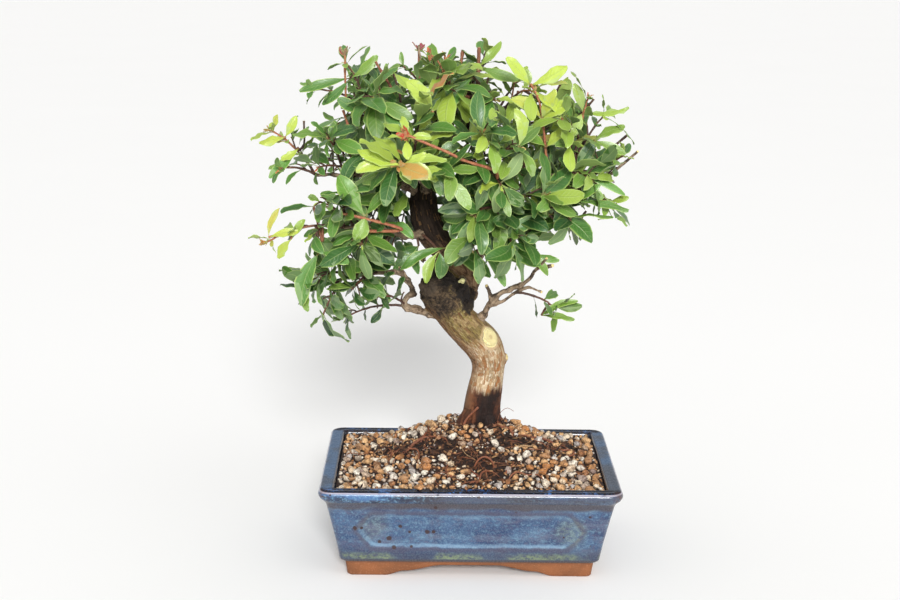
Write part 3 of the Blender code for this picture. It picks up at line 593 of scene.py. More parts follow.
# Burst bubbles in the glaze, each with its radius, in millimetres
PINHOLES = [((-71.6, -60, 33.5), 1.4), ((-67.4, -60, 33.4), 1.1), ((-43.4, -60, 34.5), 1.2),
            ((-26.6, -60, 30.8), 1.4), ((-22.8, -60, 30.8), 1.2), ((-56.4, -60, 23.4), 1.2),
            ((-50.4, -60, 26.0), 1.6), ((-47.3, -60, 19.8), 1.3), ((-36.5, -60, 20.5), 0.9),
            ((58.5, -60, 27.5), 0.6), ((-37.5, -60, 30.5), 0.9), ((74.0, -60, 42.5), 0.9)]


def glaze_finish(settings, name, gloss):
    """A mottled blue glaze that breaks brown on the edges and round the panels, with painted shade under the
    lip and at the panels' edges, painted highlights on the panels' ledges and along the rim's crest, and
    burst pinholes.
    """
    f = Finish(name, 0.3, Coat_Weight=0.35 * gloss, Coat_Roughness=0.06, Specular_IOR_Level=0.35 * gloss)
    x, y, z = f.axes()
    top = settings.height
    level = f.scaled(f.place, (0.3, 0.3, 1.3))
    clouds, streaks = f.noise(42, 4, 0.6, distortion=0.5), f.noise(120, 3, 0.6, level)
    flecks, salt = f.noise(1000, 3, 0.7), f.noise(1700, 2)
    base = f.mix(f.ramp(clouds, 0.34, 0.62), settings.deep_glaze, settings.blue_glaze)
    base = f.lay(base, settings.pale_glaze, f.ramp(streaks, 0.46, 0.66), 0.38)
    base = f.lay(base, settings.pale_glaze, f.ramp(flecks, 0.50, 0.68), 0.40)
    base = f.lay(base, settings.deep_glaze, f.ramp(salt, 0.55, 0.7), 0.55)
    base = f.lay(base, (0.10, 0.085, 0.13), f.ramp(clouds, 0.52, 0.40), f.ramp(streaks, 0.35, 0.6), 0.35)
    mottle = f.noise(430, 3, 0.65, f.scaled(f.place, (0.8, 0.8, 1.2)))
    base = f.lay(base, (0.15, 0.27, 0.36), f.ramp(mottle, 0.52, 0.66), 0.42)
    base = f.lay(base, (0.085, 0.078, 0.135), f.ramp(mottle, 0.46, 0.34), 0.45)
    base = f.lay(base, (0.038, 0.041, 0.066), f.ramp(z, 0.024, 0.013, 0, 0.68))
    outside = f.attribute("panel")[1][0]
    waver = f.sway(f.noise(140, 3), 2.4)
    outside = f.maths("ADD", outside, waver)
    # A dark line just outside the panel's edge: glaze that thins over the ridge, and painted shade along the
    # edge.
    ridge = f.times(f.ramp(outside, -0.3, 0.9), f.ramp(outside, 4.2, 1.6))
    base = f.lay(base, (0.060, 0.058, 0.095), ridge, f.ramp(streaks, 0.2, 0.5, 0.4, 0.75))
    # Painted highlight: a pale line just inside the panel's edge, strongest along the lower ledge that faces
    # up.
    ledge_highlight = f.times(f.ramp(outside, -3.0, -1.5), f.ramp(outside, 0.2, -0.8))
    low = f.ramp(z, 0.0250, 0.0215, 0.3, 0.75)
    base = f.lay(base, (0.18, 0.31, 0.44), ledge_highlight, low, f.ramp(streaks, 0.3, 0.6, 0.3, 0.8))
    for spot, size, strength in (((63, -60, 31), 9, 0.30), ((-60, -60, 34), 9, 0.16)):
        base = f.lay(base, (0.26, 0.30, 0.19), f.near(spot, size, 9), strength, f.ramp(mottle, 0.3, 0.6))
    # A brown band in the cove under the lip: glaze that thins there, and painted shade under the overhang.
    low_line = f.maths("ADD", z, f.sway(f.noise(45, 2), 0.006))
    under_lip = f.times(f.ramp(low_line, top - 0.0140, top - 0.0112), f.ramp(z, top - 0.0066, top - 0.0080))
    broken = f.times(under_lip, f.ramp(f.noise(50, 3, 0.6, level), 0.30, 0.52, 0.35, 0.85))
    base = f.lay(base, settings.broken_glaze_and_cove_shade, broken)
    run = f.times(f.ramp(z, 0.0110, 0.0122), f.ramp(z, 0.0175, 0.0135), f.ramp(f.noise(55, 2), 0.42, 0.62))
    base = f.lay(base, settings.green_glaze, run, f.ramp(mottle, 0.30, 0.60), 0.55)
    base = f.lay(base, (0.055, 0.052, 0.062), f.ramp(z, 0.0122, 0.0108))
    lip = f.ramp(z, top - 0.0082, top - 0.0068)
    patches = f.ramp(f.noise(95, 4, 0.65, level), 0.42, 0.58)
    lip_glaze = f.mix(patches, (0.014, 0.020, 0.045), (0.060, 0.140, 0.30))
    lip_glaze = f.lay(lip_glaze, (0.18, 0.36, 0.50), f.ramp(f.noise(520, 3, 0.7), 0.50, 0.62), 0.6)
    bare = f.times(f.ramp(x, -0.03, 0.0), f.ramp(f.noise(60, 3, 0.6, level), 0.30, 0.5))
    lip_glaze = f.lay(lip_glaze, (0.060, 0.046, 0.046), bare, 0.75)
    base = f.lay(base, lip_glaze, lip, 0.9)
    rim_top = f.ramp(z, top - 0.0016, top - 0.0007)
    rim_glaze = f.mix(f.ramp(flecks, 0.56, 0.68), (0.005, 0.006, 0.013), (0.05, 0.11, 0.26))
    rim_glaze = f.lay(rim_glaze, (0.055, 0.15, 0.38), f.ramp(f.noise(70, 3), 0.50, 0.62),
                      f.ramp(f.noise(480, 2), 0.48, 0.58), 0.9)
    across = f.edge_inset(x, MIDDLE.x, settings.width)
    along = f.edge_inset(y, MIDDLE.y, settings.depth)
    side = f.times(f.ramp(across, -0.0100, -0.0085), f.ramp(along, -0.0075, -0.0105))
    hazy = f.mix(f.ramp(f.noise(80, 3, 0.6, level), 0.42, 0.60), (0.085, 0.103, 0.135), (0.085, 0.155, 0.27))
    rim_glaze = f.lay(rim_glaze, hazy, side, 0.85)
    base = f.lay(base, rim_glaze, rim_top)
    inset = f.maths("MAXIMUM", across, along)
    # Painted highlight: a pale line along the rounded crest of the rim's outer edge.
    crest_highlight = f.times(f.ramp(z, top - 0.0016, top - 0.0012), f.ramp(z, top - 0.0004, top - 0.0008),
                    f.ramp(inset, -0.0060, -0.0045))
    base = f.lay(base, (0.58, 0.54, 0.63), crest_highlight, f.ramp(f.noise(180, 2), 0.2, 0.4), 0.65)
    inner = f.times(f.ramp(inset, -0.0076, -0.0090), f.ramp(z, top - 0.0045, top - 0.0030))
    base = f.lay(base, (0.030, 0.020, 0.018), inner, 0.7)
    corner = f.times(f.ramp(across, -0.009, -0.001), f.ramp(along, -0.009, -0.001),
                     f.ramp(f.noise(300), 0.4, 0.55))
    base = f.lay(base, (0.11, 0.05, 0.03), corner, 0.7)
    ripple = f.sway(f.noise(700), 0.0012)
    pits = f.ramp(f.maths("ADD", f.cells(48), f.times(ripple, 30)), 0.045, 0.065, 1, 0)
    for spot, radius in PINHOLES:
        pits = f.maths("MAXIMUM", pits, f.near(spot, radius, 0.6, ripple, 0.1))
    base = f.lay(base, (0.035, 0.014, 0.012), pits, 0.92)
    rough = f.maths("ADD", f.ramp(flecks, 0.4, 0.7, 0.22, 0.40), f.times(pits, 0.4))
    relief = f.maths("SUBTRACT", f.noise(200, 2), f.times(pits, 1.6))
    return f.wear(base, rough, f.bump(relief, 0.4, 0.45))


def clay_finish(settings):
    """Unglazed fired clay with grog and pits, darker just under the glaze."""
    f = Finish("fired_orange_clay", 0.85)
    grain, stain = f.noise(1400, 3, 0.7), f.noise(60, 4, 0.6)
    base = f.mix(f.ramp(stain, 0.35, 0.65), tuple(c * 0.72 for c in settings.clay), settings.clay)
    base = f.lay(base, (0.62, 0.33, 0.19), f.ramp(grain, 0.55, 0.7), 0.4)
    base = f.lay(base, (0.10, 0.035, 0.02), f.ramp(f.cells(420), 0.16, 0.10), 0.45)
    z = f.axes()[2]
    base = f.lay(base, (0.09, 0.045, 0.035), f.ramp(z, 0.008, 0.0098), 0.55)
    return f.wear(base, f.ramp(grain, 0.3, 0.7, 0.75, 0.95), f.bump(grain, 0.5, 0.25))


def screen_finish():
    """Black moulded plastic."""
    f = Finish("moulded_black_plastic", 0.55)
    grain = f.noise(2600, 2)
    base = f.mix(f.noise(240, 3), (0.012, 0.012, 0.013), (0.034, 0.034, 0.035))
    return f.wear(base, f.ramp(grain, 0.3, 0.7, 0.45, 0.65), f.bump(grain, 0.25, 0.08))


# ------------------------------------------------------------------------------------------------
# Soil, grit, compost and rootlets

SOIL_EDGE, SOIL_MOUND, MOUND_X, MOUND_Y = 55.5, 26.0, 3.0, 24.0
MOUND_SPREAD_X, MOUND_SPREAD_FRONT, MOUND_SPREAD_BACK = 38.0, 37.0, 20.0
GAP = 0.3
SCREEN_SIDE, SCREEN_THICKNESS = 24.0, 1.2
SOIL_COLUMNS, SOIL_ROWS = 150, 104
TRUNK_FOOT, TRUNK_HOLE = (8.0, 24.0, 12.6), (57.6, 120)
COMPOST_PATCHES = [(-52, 5, 15, 8), (-38, -2, 15, 9), (-22, -9, 14, 9), (2, -22, 15, 13), (12, -38, 12, 12),
                   (0, -48, 12, 8), (8, 22, 20, 17), (30, 0, 18, 9), (48, 5, 15, 6), (20, -26, 13, 8),
                   (-30, 44, 16, 9), (40, 44, 18, 8), (66, 20, 9, 8), (-10, 48, 14, 6)]


def mound(x, y):
    """Height of the soil in millimetres: heaped to the trunk, a little below the rim at the walls."""
    across = (x - MOUND_X) / MOUND_SPREAD_X
    along = (y - MOUND_Y) / (MOUND_SPREAD_FRONT if y < MOUND_Y else MOUND_SPREAD_BACK)
    return SOIL_EDGE + SOIL_MOUND * math.exp(-(across * across + along * along) / 2)


def lumps(x, y):
    """How far the bed's surface strays from the mound."""
    spot = Vector((x, y, 0))
    return 0.9 * noise.noise(spot * 0.11) + 0.5 * noise.noise(spot * 0.45 + Vector((7, 3, 1)))


def bed_height(x, y):
    """Height of the soil bed in millimetres: the lumpy mound, raised a little at the walls."""
    beside = min(half - abs(value) for half, value in zip(SOIL_HALF, (x, y)))
    return mound(x, y) + lumps(x, y) - 1.0 + WALL_RISE * (1 - smoothstep(beside, 0, 11))


def compost_share(x, y):
    """How much the ground at a place is dark compost rather than grit."""
    found = max(math.exp(-(((x - cx) / rx) ** 2 + ((y - cy) / ry) ** 2))
                for cx, cy, rx, ry in COMPOST_PATCHES)
    return found + 0.35 * noise.noise(Vector((x, y, 9)) * 0.09)


def soil_half():
    """Half of the soil's width and depth at its top edge, in millimetres."""
    inset = soil_wall(POT_SIZE.z / MM, SOIL_EDGE) + GAP
    return POT_SIZE.x / MM / 2 - inset, POT_SIZE.y / MM / 2 - inset


SOIL_HALF, WALL_RISE = soil_half(), 1.9


def make_soil_bed(settings):
    """A lumpy sheet drawn down into a block, with room for the trunk and the screens."""
    half_x, half_y = SOIL_HALF
    corner = BODY_CORNER - 2 - GAP
    bm = bmesh.new()
    bmesh.ops.create_grid(bm, x_segments=SOIL_COLUMNS, y_segments=SOIL_ROWS, size=1)
    for vert in bm.verts:
        x, y = vert.co.x * half_x, vert.co.y * half_y
        over_x, over_y = abs(x) - (half_x - corner), abs(y) - (half_y - corner)
        if over_x > 0 and over_y > 0 and math.hypot(over_x, over_y) > corner:
            pull = corner / math.hypot(over_x, over_y)
            x, y = (math.copysign(half - corner + over * pull, v)
                    for half, over, v in ((half_x, over_x, x), (half_y, over_y, y)))
        vert.co = Vector((x, y, bed_height(x, y))) * MM
    skirt = bmesh.ops.extrude_edge_only(bm, edges=[edge for edge in bm.edges if edge.is_boundary])["geom"]
    low = soil_wall(POT_SIZE.z / MM, FLOOR_TOP) + 2 * GAP
    squeeze = [(POT_SIZE[axis] / MM / 2 - low) / half for axis, half in ((0, half_x), (1, half_y))]
    for vert in (v for v in skirt if isinstance(v, bmesh.types.BMVert)):
        vert.co = (vert.co.x * squeeze[0], vert.co.y * squeeze[1], (FLOOR_TOP + GAP) * MM)
    bmesh.ops.contextual_create(bm, geom=[edge for edge in bm.edges if edge.is_boundary])
    x, y, radius = TRUNK_FOOT
    cutters = [sweep([Vector((x * MM, y * MM, z * MM, (radius + 1) * MM)) for z in TRUNK_HOLE], 32)]
    for x in (-DRAIN_X, DRAIN_X):
        half = SCREEN_SIDE / 2 + GAP
        pocket = bmesh.new()
        bmesh.ops.create_cube(pocket, size=1)
        bmesh.ops.scale(pocket, vec=Vector((2 * half, 2 * half, 2 * (SCREEN_THICKNESS + 2 * GAP))) * MM,
                        verts=pocket.verts)
        bmesh.ops.translate(pocket, vec=Vector((x, 0, FLOOR_TOP + GAP)) * MM, verts=pocket.verts)
        cutters.append(pocket)
    bm = cut_out(bm, cutters)
    smooth_faces(bm, 60)
    return bm


def as_stock(bm):
    """A small shape as a mesh that copies are made of."""
    mesh = bpy.data.meshes.new("stock")
    bm.to_mesh(mesh)
    bm.free()
    return mesh


def lay_copy(bm, mesh, matrix, tone):
    """Moves and tones a copy of a small shape, adds it to a larger one and does away with the copy."""
    mesh.transform(matrix)
    for value in mesh.attributes["grain"].data:
        value.vector = tone
    bm.from_mesh(mesh)
    bpy.data.meshes.remove(mesh)


def pebble(rng, angular):
    """One grain of unit size: a ball worn flat on a few sides and dented by noise."""
    bm = new_shape("grain")
    bmesh.ops.create_icosphere(bm, subdivisions=2, radius=1)
    planes = [(three(rng.gauss, 0, 1).normalized(), rng.uniform(0.45, 0.82)) for _ in range(9)]
    shift = three(rng.uniform, 0, 50)
    for vert in bm.verts:
        way = vert.co.normalized()
        vert.co = way * (1.08 + 0.40 * noise.noise(way * 1.7 + shift))
        for facing, reach in planes:
            over = vert.co.dot(facing) - reach
            if over > 0:
                vert.co -= facing * over * angular
    return as_stock(all_smooth(bm))


def scatter_grains(settings):
    """Where each grain lies, packed close: x, y, height of its middle and radius, in millimetres."""
    rng = random.Random(SEED)
    half_x, half_y = SOIL_HALF
    biggest, smallest = settings.largest_grain / MM, settings.smallest_grain / MM
    cell = 2 * biggest
    grid, grains = {}, []
    foot_x, foot_y, foot_radius = TRUNK_FOOT

    def try_grain(radius, spacing, sunk, compost_limit):
        x, y = rng.uniform(-half_x + radius, half_x - radius), rng.uniform(-half_y + radius, half_y - radius)
        if math.hypot(x - foot_x, y - foot_y) < foot_radius + radius * 0.8:
            return
        if compost_share(x, y) > compost_limit + rng.uniform(-0.12, 0.22):
            return
        key = int(x // cell), int(y // cell)
        z = bed_height(x, y) + radius * sunk
        for i in (-1, 0, 1):
            for j in (-1, 0, 1):
                for ox, oy, oz, other in grid.get((key[0] + i, key[1] + j), ()):
                    if math.dist((x, y, z), (ox, oy, oz)) < spacing * (radius + other):
                        return
        grid.setdefault(key, []).append((x, y, z, radius))
        grains.append((x, y, z, radius))

    middle = (biggest + smallest) / 2
    rounds = (
        # tries, radius from and to, how close they pack, how high they sit, how much compost they lie on
        (680, middle, biggest, 0.92, 0.45, 0.27),
        (3200, smallest * 1.15, middle, 0.90, 0.42, 0.34),
        (7000, smallest * 0.6, smallest * 1.15, 0.86, 0.35, 0.55),
        (820, middle * 0.75, biggest * 0.8, 0.86, 1.25, 0.22),
    )
    for tries, low, high, spacing, sunk, limit in rounds:
        for _ in range(tries):
            try_grain(rng.uniform(low, high), spacing, sunk, limit)
    return grains


GRIT_KINDS = {"ochre": (0.52, 0.85), "cream": (0.32, 0.75), "grey": (0.07, 0.9), "white": (0.09, 1.0)}
RIM_GRAINS = [(-31.5, -62.5, 2.2), (-24.5, -61.8, 1.7), (-3.0, -61.2, 1.5)]


def make_grit(settings):
    """Grains sorted by kind, each kind a shape of its own."""
    rng = random.Random(SEED + 1)
    kinds = list(GRIT_KINDS)
    stock = {kind: [pebble(rng, GRIT_KINDS[kind][1]) for _ in range(9)] for kind in kinds}
    shapes = {kind: new_shape("grain") for kind in kinds}
    grains = [(*grain, None) for grain in scatter_grains(settings)]
    grains += [(x, y, POT_SIZE.z / MM + r * 0.45, r, "ochre") for x, y, r in RIM_GRAINS]
    for x, y, z, radius, kind in grains:
        kind = kind or rng.choices(kinds, [GRIT_KINDS[k][0] for k in kinds])[0]
        mesh = rng.choice(stock[kind]).copy()
        flat = Matrix.Diagonal((rng.uniform(0.95, 1.2), rng.uniform(0.75, 1.0), rng.uniform(0.62, 0.9), 1))
        tip = Matrix.Rotation(rng.gauss(0, 0.35), 4, "X") @ Matrix.Rotation(rng.gauss(0, 0.35), 4, "Y")
        yaw = Matrix.Rotation(rng.uniform(0, 2 * math.pi), 4, "Z")
        at = Matrix.Translation(Vector((x, y, z)) * MM)
        lay_copy(shapes[kind], mesh, at @ yaw @ tip @ flat @ Matrix.Scale(radius * MM, 4),
                 (rng.random(), rng.random(), radius))
    for meshes in stock.values():
        for mesh in meshes:
            bpy.data.meshes.remove(mesh)
    return shapes


def grain_finish(name, colour, second, speckle):
    """Stone whose tone differs from grain to grain, with specks and pores."""
    f = Finish(name, 0.8)
    tone, kind, _ = f.attribute("grain")[1]
    specks, pores = f.noise(1100, 3, 0.8), f.cells(950)
    base = f.mix(tone, colour, second)
    base = f.lay(base, (0.25, 0.10, 0.045), f.ramp(kind, 0.55, 0.95), 0.6)
    base = f.lay(base, (0.90, 0.86, 0.78), f.ramp(specks, 0.58, 0.68), 0.6)
    base = f.lay(base, (0.030, 0.020, 0.016), f.ramp(pores, 0.26, 0.14), speckle)
    base = f.lay(base, (0.07, 0.045, 0.035), f.ramp(specks, 0.44, 0.36), speckle)
    dirt = f.noise(420, 3, 0.6)
    base = f.lay(base, (0.075, 0.030, 0.014), f.ramp(dirt, 0.54, 0.40), 0.6)
    relief = f.maths("ADD", f.noise(800, 4, 0.7), f.times(pores, 0.8))
    return f.wear(base, None, f.bump(relief, 0.8, 0.6))


def compost_finish(settings):
    """Dark, damp, fibrous compost."""
    f = Finish("damp_compost", 0.9)
    lump, fibre = f.noise(500, 5, 0.7), f.noise(900, 3, 0.6, f.scaled(f.place, (0.3, 1, 1)))
    base = f.mix(f.ramp(lump, 0.35, 0.65), settings.compost, (0.050, 0.024, 0.015))
    base = f.lay(base, (0.16, 0.07, 0.032), f.ramp(fibre, 0.60, 0.7), 0.4)
    return f.wear(base, f.ramp(lump, 0.3, 0.7, 0.7, 0.98), f.bump(lump, 1.0, 1.2))


def compost_spots(rng, number, limit):
    """Places on the soil where compost shows."""
    half_x, half_y = SOIL_HALF
    foot_x, foot_y, foot_radius = TRUNK_FOOT
    spots = []
    while len(spots) < number:
        x, y = rng.uniform(4 - half_x, half_x - 4), rng.uniform(4 - half_y, half_y - 4)
        outside = math.hypot(x - foot_x, y - foot_y) > foot_radius + 2
        if outside and compost_share(x, y) > rng.uniform(limit, 0.9):
            spots.append((x, y))
    return spots


def make_compost_chips(settings):
    """Flat slivers of bark and fibre, lying at all angles."""
    rng = random.Random(SEED + 2)
    bm = new_shape("grain")
    sliver = new_shape("grain")
    bmesh.ops.create_icosphere(sliver, subdivisions=1, radius=1)
    stock = as_stock(sliver)
    for x, y in compost_spots(rng, settings.chips, -0.05):
        mesh = stock.copy()
        for vert in mesh.vertices:
            vert.co *= rng.uniform(0.6, 1.25)
        size = Matrix.Diagonal((rng.uniform(0.9, 3.6), rng.uniform(0.5, 1.5), rng.uniform(0.3, 0.8), 1))
        yaw = Matrix.Rotation(rng.uniform(0, 2 * math.pi), 4, "Z")
        turn = yaw @ Matrix.Rotation(rng.gauss(0, 0.4), 4, "Y")
        at = Matrix.Translation(Vector((x, y, bed_height(x, y) + rng.uniform(0.1, 1.7))) * MM)
        lay_copy(bm, mesh, at @ turn @ size @ Matrix.Scale(MM, 4), (rng.random(), rng.random(), 0))
    bpy.data.meshes.remove(stock)
    return bm


def chip_finish():
    """Bark slivers from near black to tan."""
    f = Finish("bark_chips", 0.85)
    tone, kind, _ = f.attribute("grain")[1]
    fibre = f.noise(1300, 3, 0.7, f.scaled(f.place, (1, 0.4, 1)))
    base = f.mix(f.maths("POWER", tone, 2.6), (0.014, 0.007, 0.006), (0.20, 0.080, 0.034))
    base = f.lay(base, (0.50, 0.29, 0.13), f.ramp(kind, 0.92, 0.97), 0.9)
    base = f.lay(base, (0.28, 0.14, 0.07), f.ramp(fibre, 0.55, 0.7), 0.5)
    return f.wear(base, None, f.bump(fibre, 0.8, 0.4))


ROOT_STEP, ROOT_SPACING, ROOT_SIDES = 2.2, 1.6 * MM, 6


def rootlet_route(rng, x, y, reach, radius):
    """A root that wanders over the soil and arches up off it here and there."""
    heading, bend = rng.uniform(0, 2 * math.pi), rng.gauss(0, 0.06)
    steps = max(6, int(reach / ROOT_STEP))
    arch, turns = rng.uniform(0.2, 2.4), rng.uniform(0.8, 2.0)
    points = []
    half_x, half_y = SOIL_HALF
    for step in range(steps + 1):
        way = step / steps
        bend = bend * 0.86 + rng.gauss(0, 0.13)
        heading += bend
        x += ROOT_STEP * math.cos(heading)
        y += ROOT_STEP * math.sin(heading)
        if abs(x) > half_x - 1 or abs(y) > half_y - 1:
            heading += math.pi / 2
            x, y = max(1 - half_x, min(half_x - 1, x)), max(1 - half_y, min(half_y - 1, y))
        lift = 1.0 + arch * abs(math.sin(math.pi * turns * way))
        sink = 2.2 * (1 - smoothstep(min(way, 1 - way), 0, 0.14)) * (0.3 if radius < 0.3 else 1)
        points.append(Vector((x, y, bed_height(x, y) + lift - sink, radius * (1 - 0.45 * way))) * MM)
    return points


# Old roots that stick up out of the soil beside the trunk, with their radius
LEANING_ROOTS = [([(-4, 9, 78.5), (-1.5, 9, 83.8), (5.6, 6, 92.6)], 0.75),
                 ([(18.5, 9, 79), (19, 8, 85.5), (21.1, 7, 89.8), (24.9, 6, 92.3), (28.8, 5, 90.4)], 0.16),
                 ([(2, -30, 62), (5, -31, 68.5), (9.5, -31, 71), (14, -31, 67.5), (16, -30, 60)], 0.6)]


def make_rootlets(settings):
    """Loose roots over the compost, and the few old ones that stand up out of it."""
    rng = random.Random(SEED + 3)
    bm = new_shape("grain")
    for number, (x, y) in enumerate(compost_spots(rng, settings.rootlets, 0.15)):
        thick = number % 5 == 0
        radius = rng.uniform(0.55, 0.90) if thick else rng.uniform(0.18, 0.36)
        tone = (rng.random(), rng.random(), 1 if thick else 0)
        route = finer(rootlet_route(rng, x, y, rng.uniform(14, 34), radius), ROOT_SPACING)
        gather(bm, sweep(route, ROOT_SIDES, ("grain",), paint=lambda way: {"grain": tone}))
    for points, radius in LEANING_ROOTS:
        route = finer(metres(points, [radius] * len(points)), ROOT_SPACING)
        gather(bm, sweep(route, ROOT_SIDES, ("grain",), paint=lambda way: {"grain": (0.5, 0.3, 1)}))
    return all_smooth(bm)


def rootlet_finish(settings):
    """Rusty root skin with scurf."""
    f = Finish("fine_roots", 0.6)
    tone, kind, _ = f.attribute("grain")[1]
    scurf = f.noise(1500, 3, 0.7)
    base = f.mix(tone, settings.rootlet, (0.34, 0.125, 0.060))
    base = f.lay(base, (0.55, 0.36, 0.18), f.ramp(kind, 0.78, 0.9), 0.8)
    base = f.lay(base, (0.035, 0.015, 0.01), f.ramp(scurf, 0.55, 0.4), 0.6)
    return f.wear(base, None, f.bump(scurf, 0.5, 0.2))


# ------------------------------------------------------------------------------------------------
# Trunk: points in millimetres from the middle of the pot, each with its radius

TRUNK_ROUTE = [
    (8, 24, 58, 13.5), (8, 24, 72, 12.8), (8, 24, 86, 12.4), (10, 24, 101, 11.4),
    (12, 24, 113, 10.8), (12, 23, 123, 11.4), (8, 22, 132, 12.2), (-0.5, 20, 141, 11.8),
    (-9, 18, 150, 11.4), (-14, 15, 158, 11.8), (-18, 11, 165, 12.8), (-23, 5, 172, 11.6),
]
LEADER_ROUTE = [
    (-12, 24, 160, 9.0), (-7, 27, 166, 8.8), (-4, 29, 175, 9.8), (-6, 28, 184, 9.4),
    (-13, 24, 192, 9.2), (-20, 20, 199, 9.4), (-26, 17, 208, 9.6), (-30, 16, 220, 9.4),
    (-31, 17, 231, 8.6), (-29, 20, 242, 7.4), (-25, 22, 253, 6.0), (-21, 22, 266, 4.6),
    (-19, 20, 280, 3.4),
]
# Burrs of old wood that join the stump to the leader, and roots that flare into the soil
BURRS = [((-24, 6, 172), 9.4), ((-18, 9, 175), 8.0), ((-10, 13, 168), 9.4), ((-6, 17, 160), 8.8),
         ((-31, 3, 173), 2.8), ((-22, 10, 183), 4.6), ((-27, 7, 163), 3.4), ((-15, 20, 180), 6.0),
         ((-3, 22, 165), 7.8), ((-8, 22, 171), 9.5), ((19, 22, 121), 5.6), ((-20, 13, 187), 4.8)]
ROOT_FLARES = [((7, 22, 92), (-4, 16, 77), (-12, 11, 65), 6.4), ((9, 20, 92), (14, 12, 75), (18, 4, 62), 5.0),
               ((9, 26, 92), (19, 30, 76), (26, 34, 62), 5.4), ((7, 27, 92), (-2, 34, 76), (-9, 40, 62), 5.6)]
WOUND = {"inside": (4, 21, 135), "face": (13.2, 12.2, 138.5), "radius": 5.4}
PRUNED_KNOB = {"inside": (14, 23, 121), "face": (24.6, 20, 123), "radius": 3.0}
BRANCHES = {
    "left_low": (3.5, 1.7, [(-18, 17, 152), (-26, 14, 153), (-35, 10, 157), (-43, 6, 160), (-42, 5, 165),
                            (-38, 4, 170), (-41, 2, 178), (-48, 0, 183), (-60, -1, 183), (-72, -5, 182),
                            (-82, -10, 185)]),
    "right_low": (3.3, 1.4, [(2, 22, 143), (8, 16, 152), (12, 12, 160), (17, 8, 167), (27, 4, 173),
                             (35, 0, 178), (41, -4, 187), (52, -6, 190)]),
    "right_low_fork": (1.9, 1.1, [(12, 12, 160), (20, 9, 163), (28, 7, 169), (36, 5, 173), (46, 5, 170)]),
    "left_mid": (3.2, 1.4, [(-27, 17, 208), (-40, 6, 206), (-52, -3, 209), (-60, -11, 215), (-80, -24, 216)]),
    "left_up": (3.2, 1.5, [(-31, 17, 231), (-46, 8, 239), (-59, 2, 244), (-72, -4, 246), (-98, -12, 247)]),
    "left_top": (3.0, 1.5, [(-27, 21, 247), (-39, 14, 260), (-51, 8, 273), (-66, 3, 286)]),
    "top_left": (2.6, 1.4, [(-19, 20, 278), (-26, 14, 290), (-33, 6, 300)]),
    "top_right": (2.8, 1.5, [(-19, 20, 278), (-10, 24, 286), (-2, 26, 294)]),
    "right_top": (3.0, 1.5, [(-22, 22, 262), (-8, 26, 269), (6, 30, 275), (20, 30, 284)]),
    "right_up": (3.6, 1.6, [(-13, 24, 192), (-4, 18, 204), (6, 12, 219), (17, 7, 232), (30, 2, 239),
                            (46, -4, 245), (62, -9, 254)]),
    "right_mid": (4.6, 1.7, [(-6, 28, 182), (8, 27, 193), (19, 23, 201), (31, 18, 210), (44, 14, 223),
                             (54, 10, 233), (68, 5, 238), (82, 2, 243)]),
    "front": (3.2, 1.4, [(-30, 16, 233), (-30, 0, 240), (-33, -18, 245), (-38, -36, 252)]),
    "front_right": (2.8, 1.4, [(-22, 22, 262), (-10, 6, 258), (-2, -10, 256), (4, -28, 256)]),
    "front_mid": (2.4, 1.4, [(6, 12, 219), (12, -4, 222), (16, -18, 227)]),
    "back_left": (3.2, 1.5, [(-27, 17, 212), (-42, 34, 222), (-58, 50, 236)]),
    "back_mid": (3.2, 1.5, [(-27, 21, 247), (-20, 38, 256), (-12, 54, 266)]),
    "back_right": (3.4, 1.5, [(-2, 28, 178), (14, 44, 200), (32, 52, 222), (50, 56, 240)]),
}
PRUNED_TWIGS = [
    ((13, 11, 162), (9.5, 9, 174), 1.4), ((41, -4, 187), (47, -12, 196), 1.2),
    ((-52, -3, 209), (-55, -12, 203), 1.2), ((-41, 2, 178), (-47, -3, 188), 1.2),
    ((30, 2, 239), (36, -8, 252), 1.2), ((-20, 20, 199), (-33, 8, 190), 1.6),
    ((-19, 20, 280), (-18, 16, 318), 1.2), ((-2, 26, 294), (3, 25, 321), 1.1),
    ((-33, 6, 300), (-35, 7, 326), 0.9), ((82, 2, 243), (103, -4, 263), 1.1),
    ((-72, -4, 246), (-77, -22, 262), 1.0), ((-60, -11, 215), (-93, -26, 230), 1.0),
    ((-6, 22, 175), (-6, 7, 176.5), 2.0),
]
TRUNK_SPACING, BRANCH_SPACING, SLIMMER = 2.5 * MM, 1.6 * MM, 0.80
STUMP_FACE, STUMP_AXIS = Vector((-23, 5, 172)), Vector((-0.55, -0.55, 0.63))


def metres(points, radii=None):
    """Points in millimetres as metres, with the radius in the fourth place."""
    if radii is None:
        return [Vector(point) * MM for point in points]
    return [Vector((*point, radius)) * MM for point, radius in zip(points, radii)]


def gnarled(route, name):
    """Lets an old branch sway a little and swell at its knots."""
    rng = random.Random(f"{SEED} {name}")
    knots = [rng.uniform(2, len(route) - 1) for _ in range(len(route) // 4)]
    shift = rng.uniform(0, 90)
    for i, point in enumerate(route[2:-1], 2):
        point.w *= 0.92 + 0.42 * max(math.exp(-((i - knot) / 0.9) ** 2) for knot in knots)
        point.xyz += noise.noise_vector(Vector((i * 0.31, shift, 0))) * 0.9 * MM
    return route


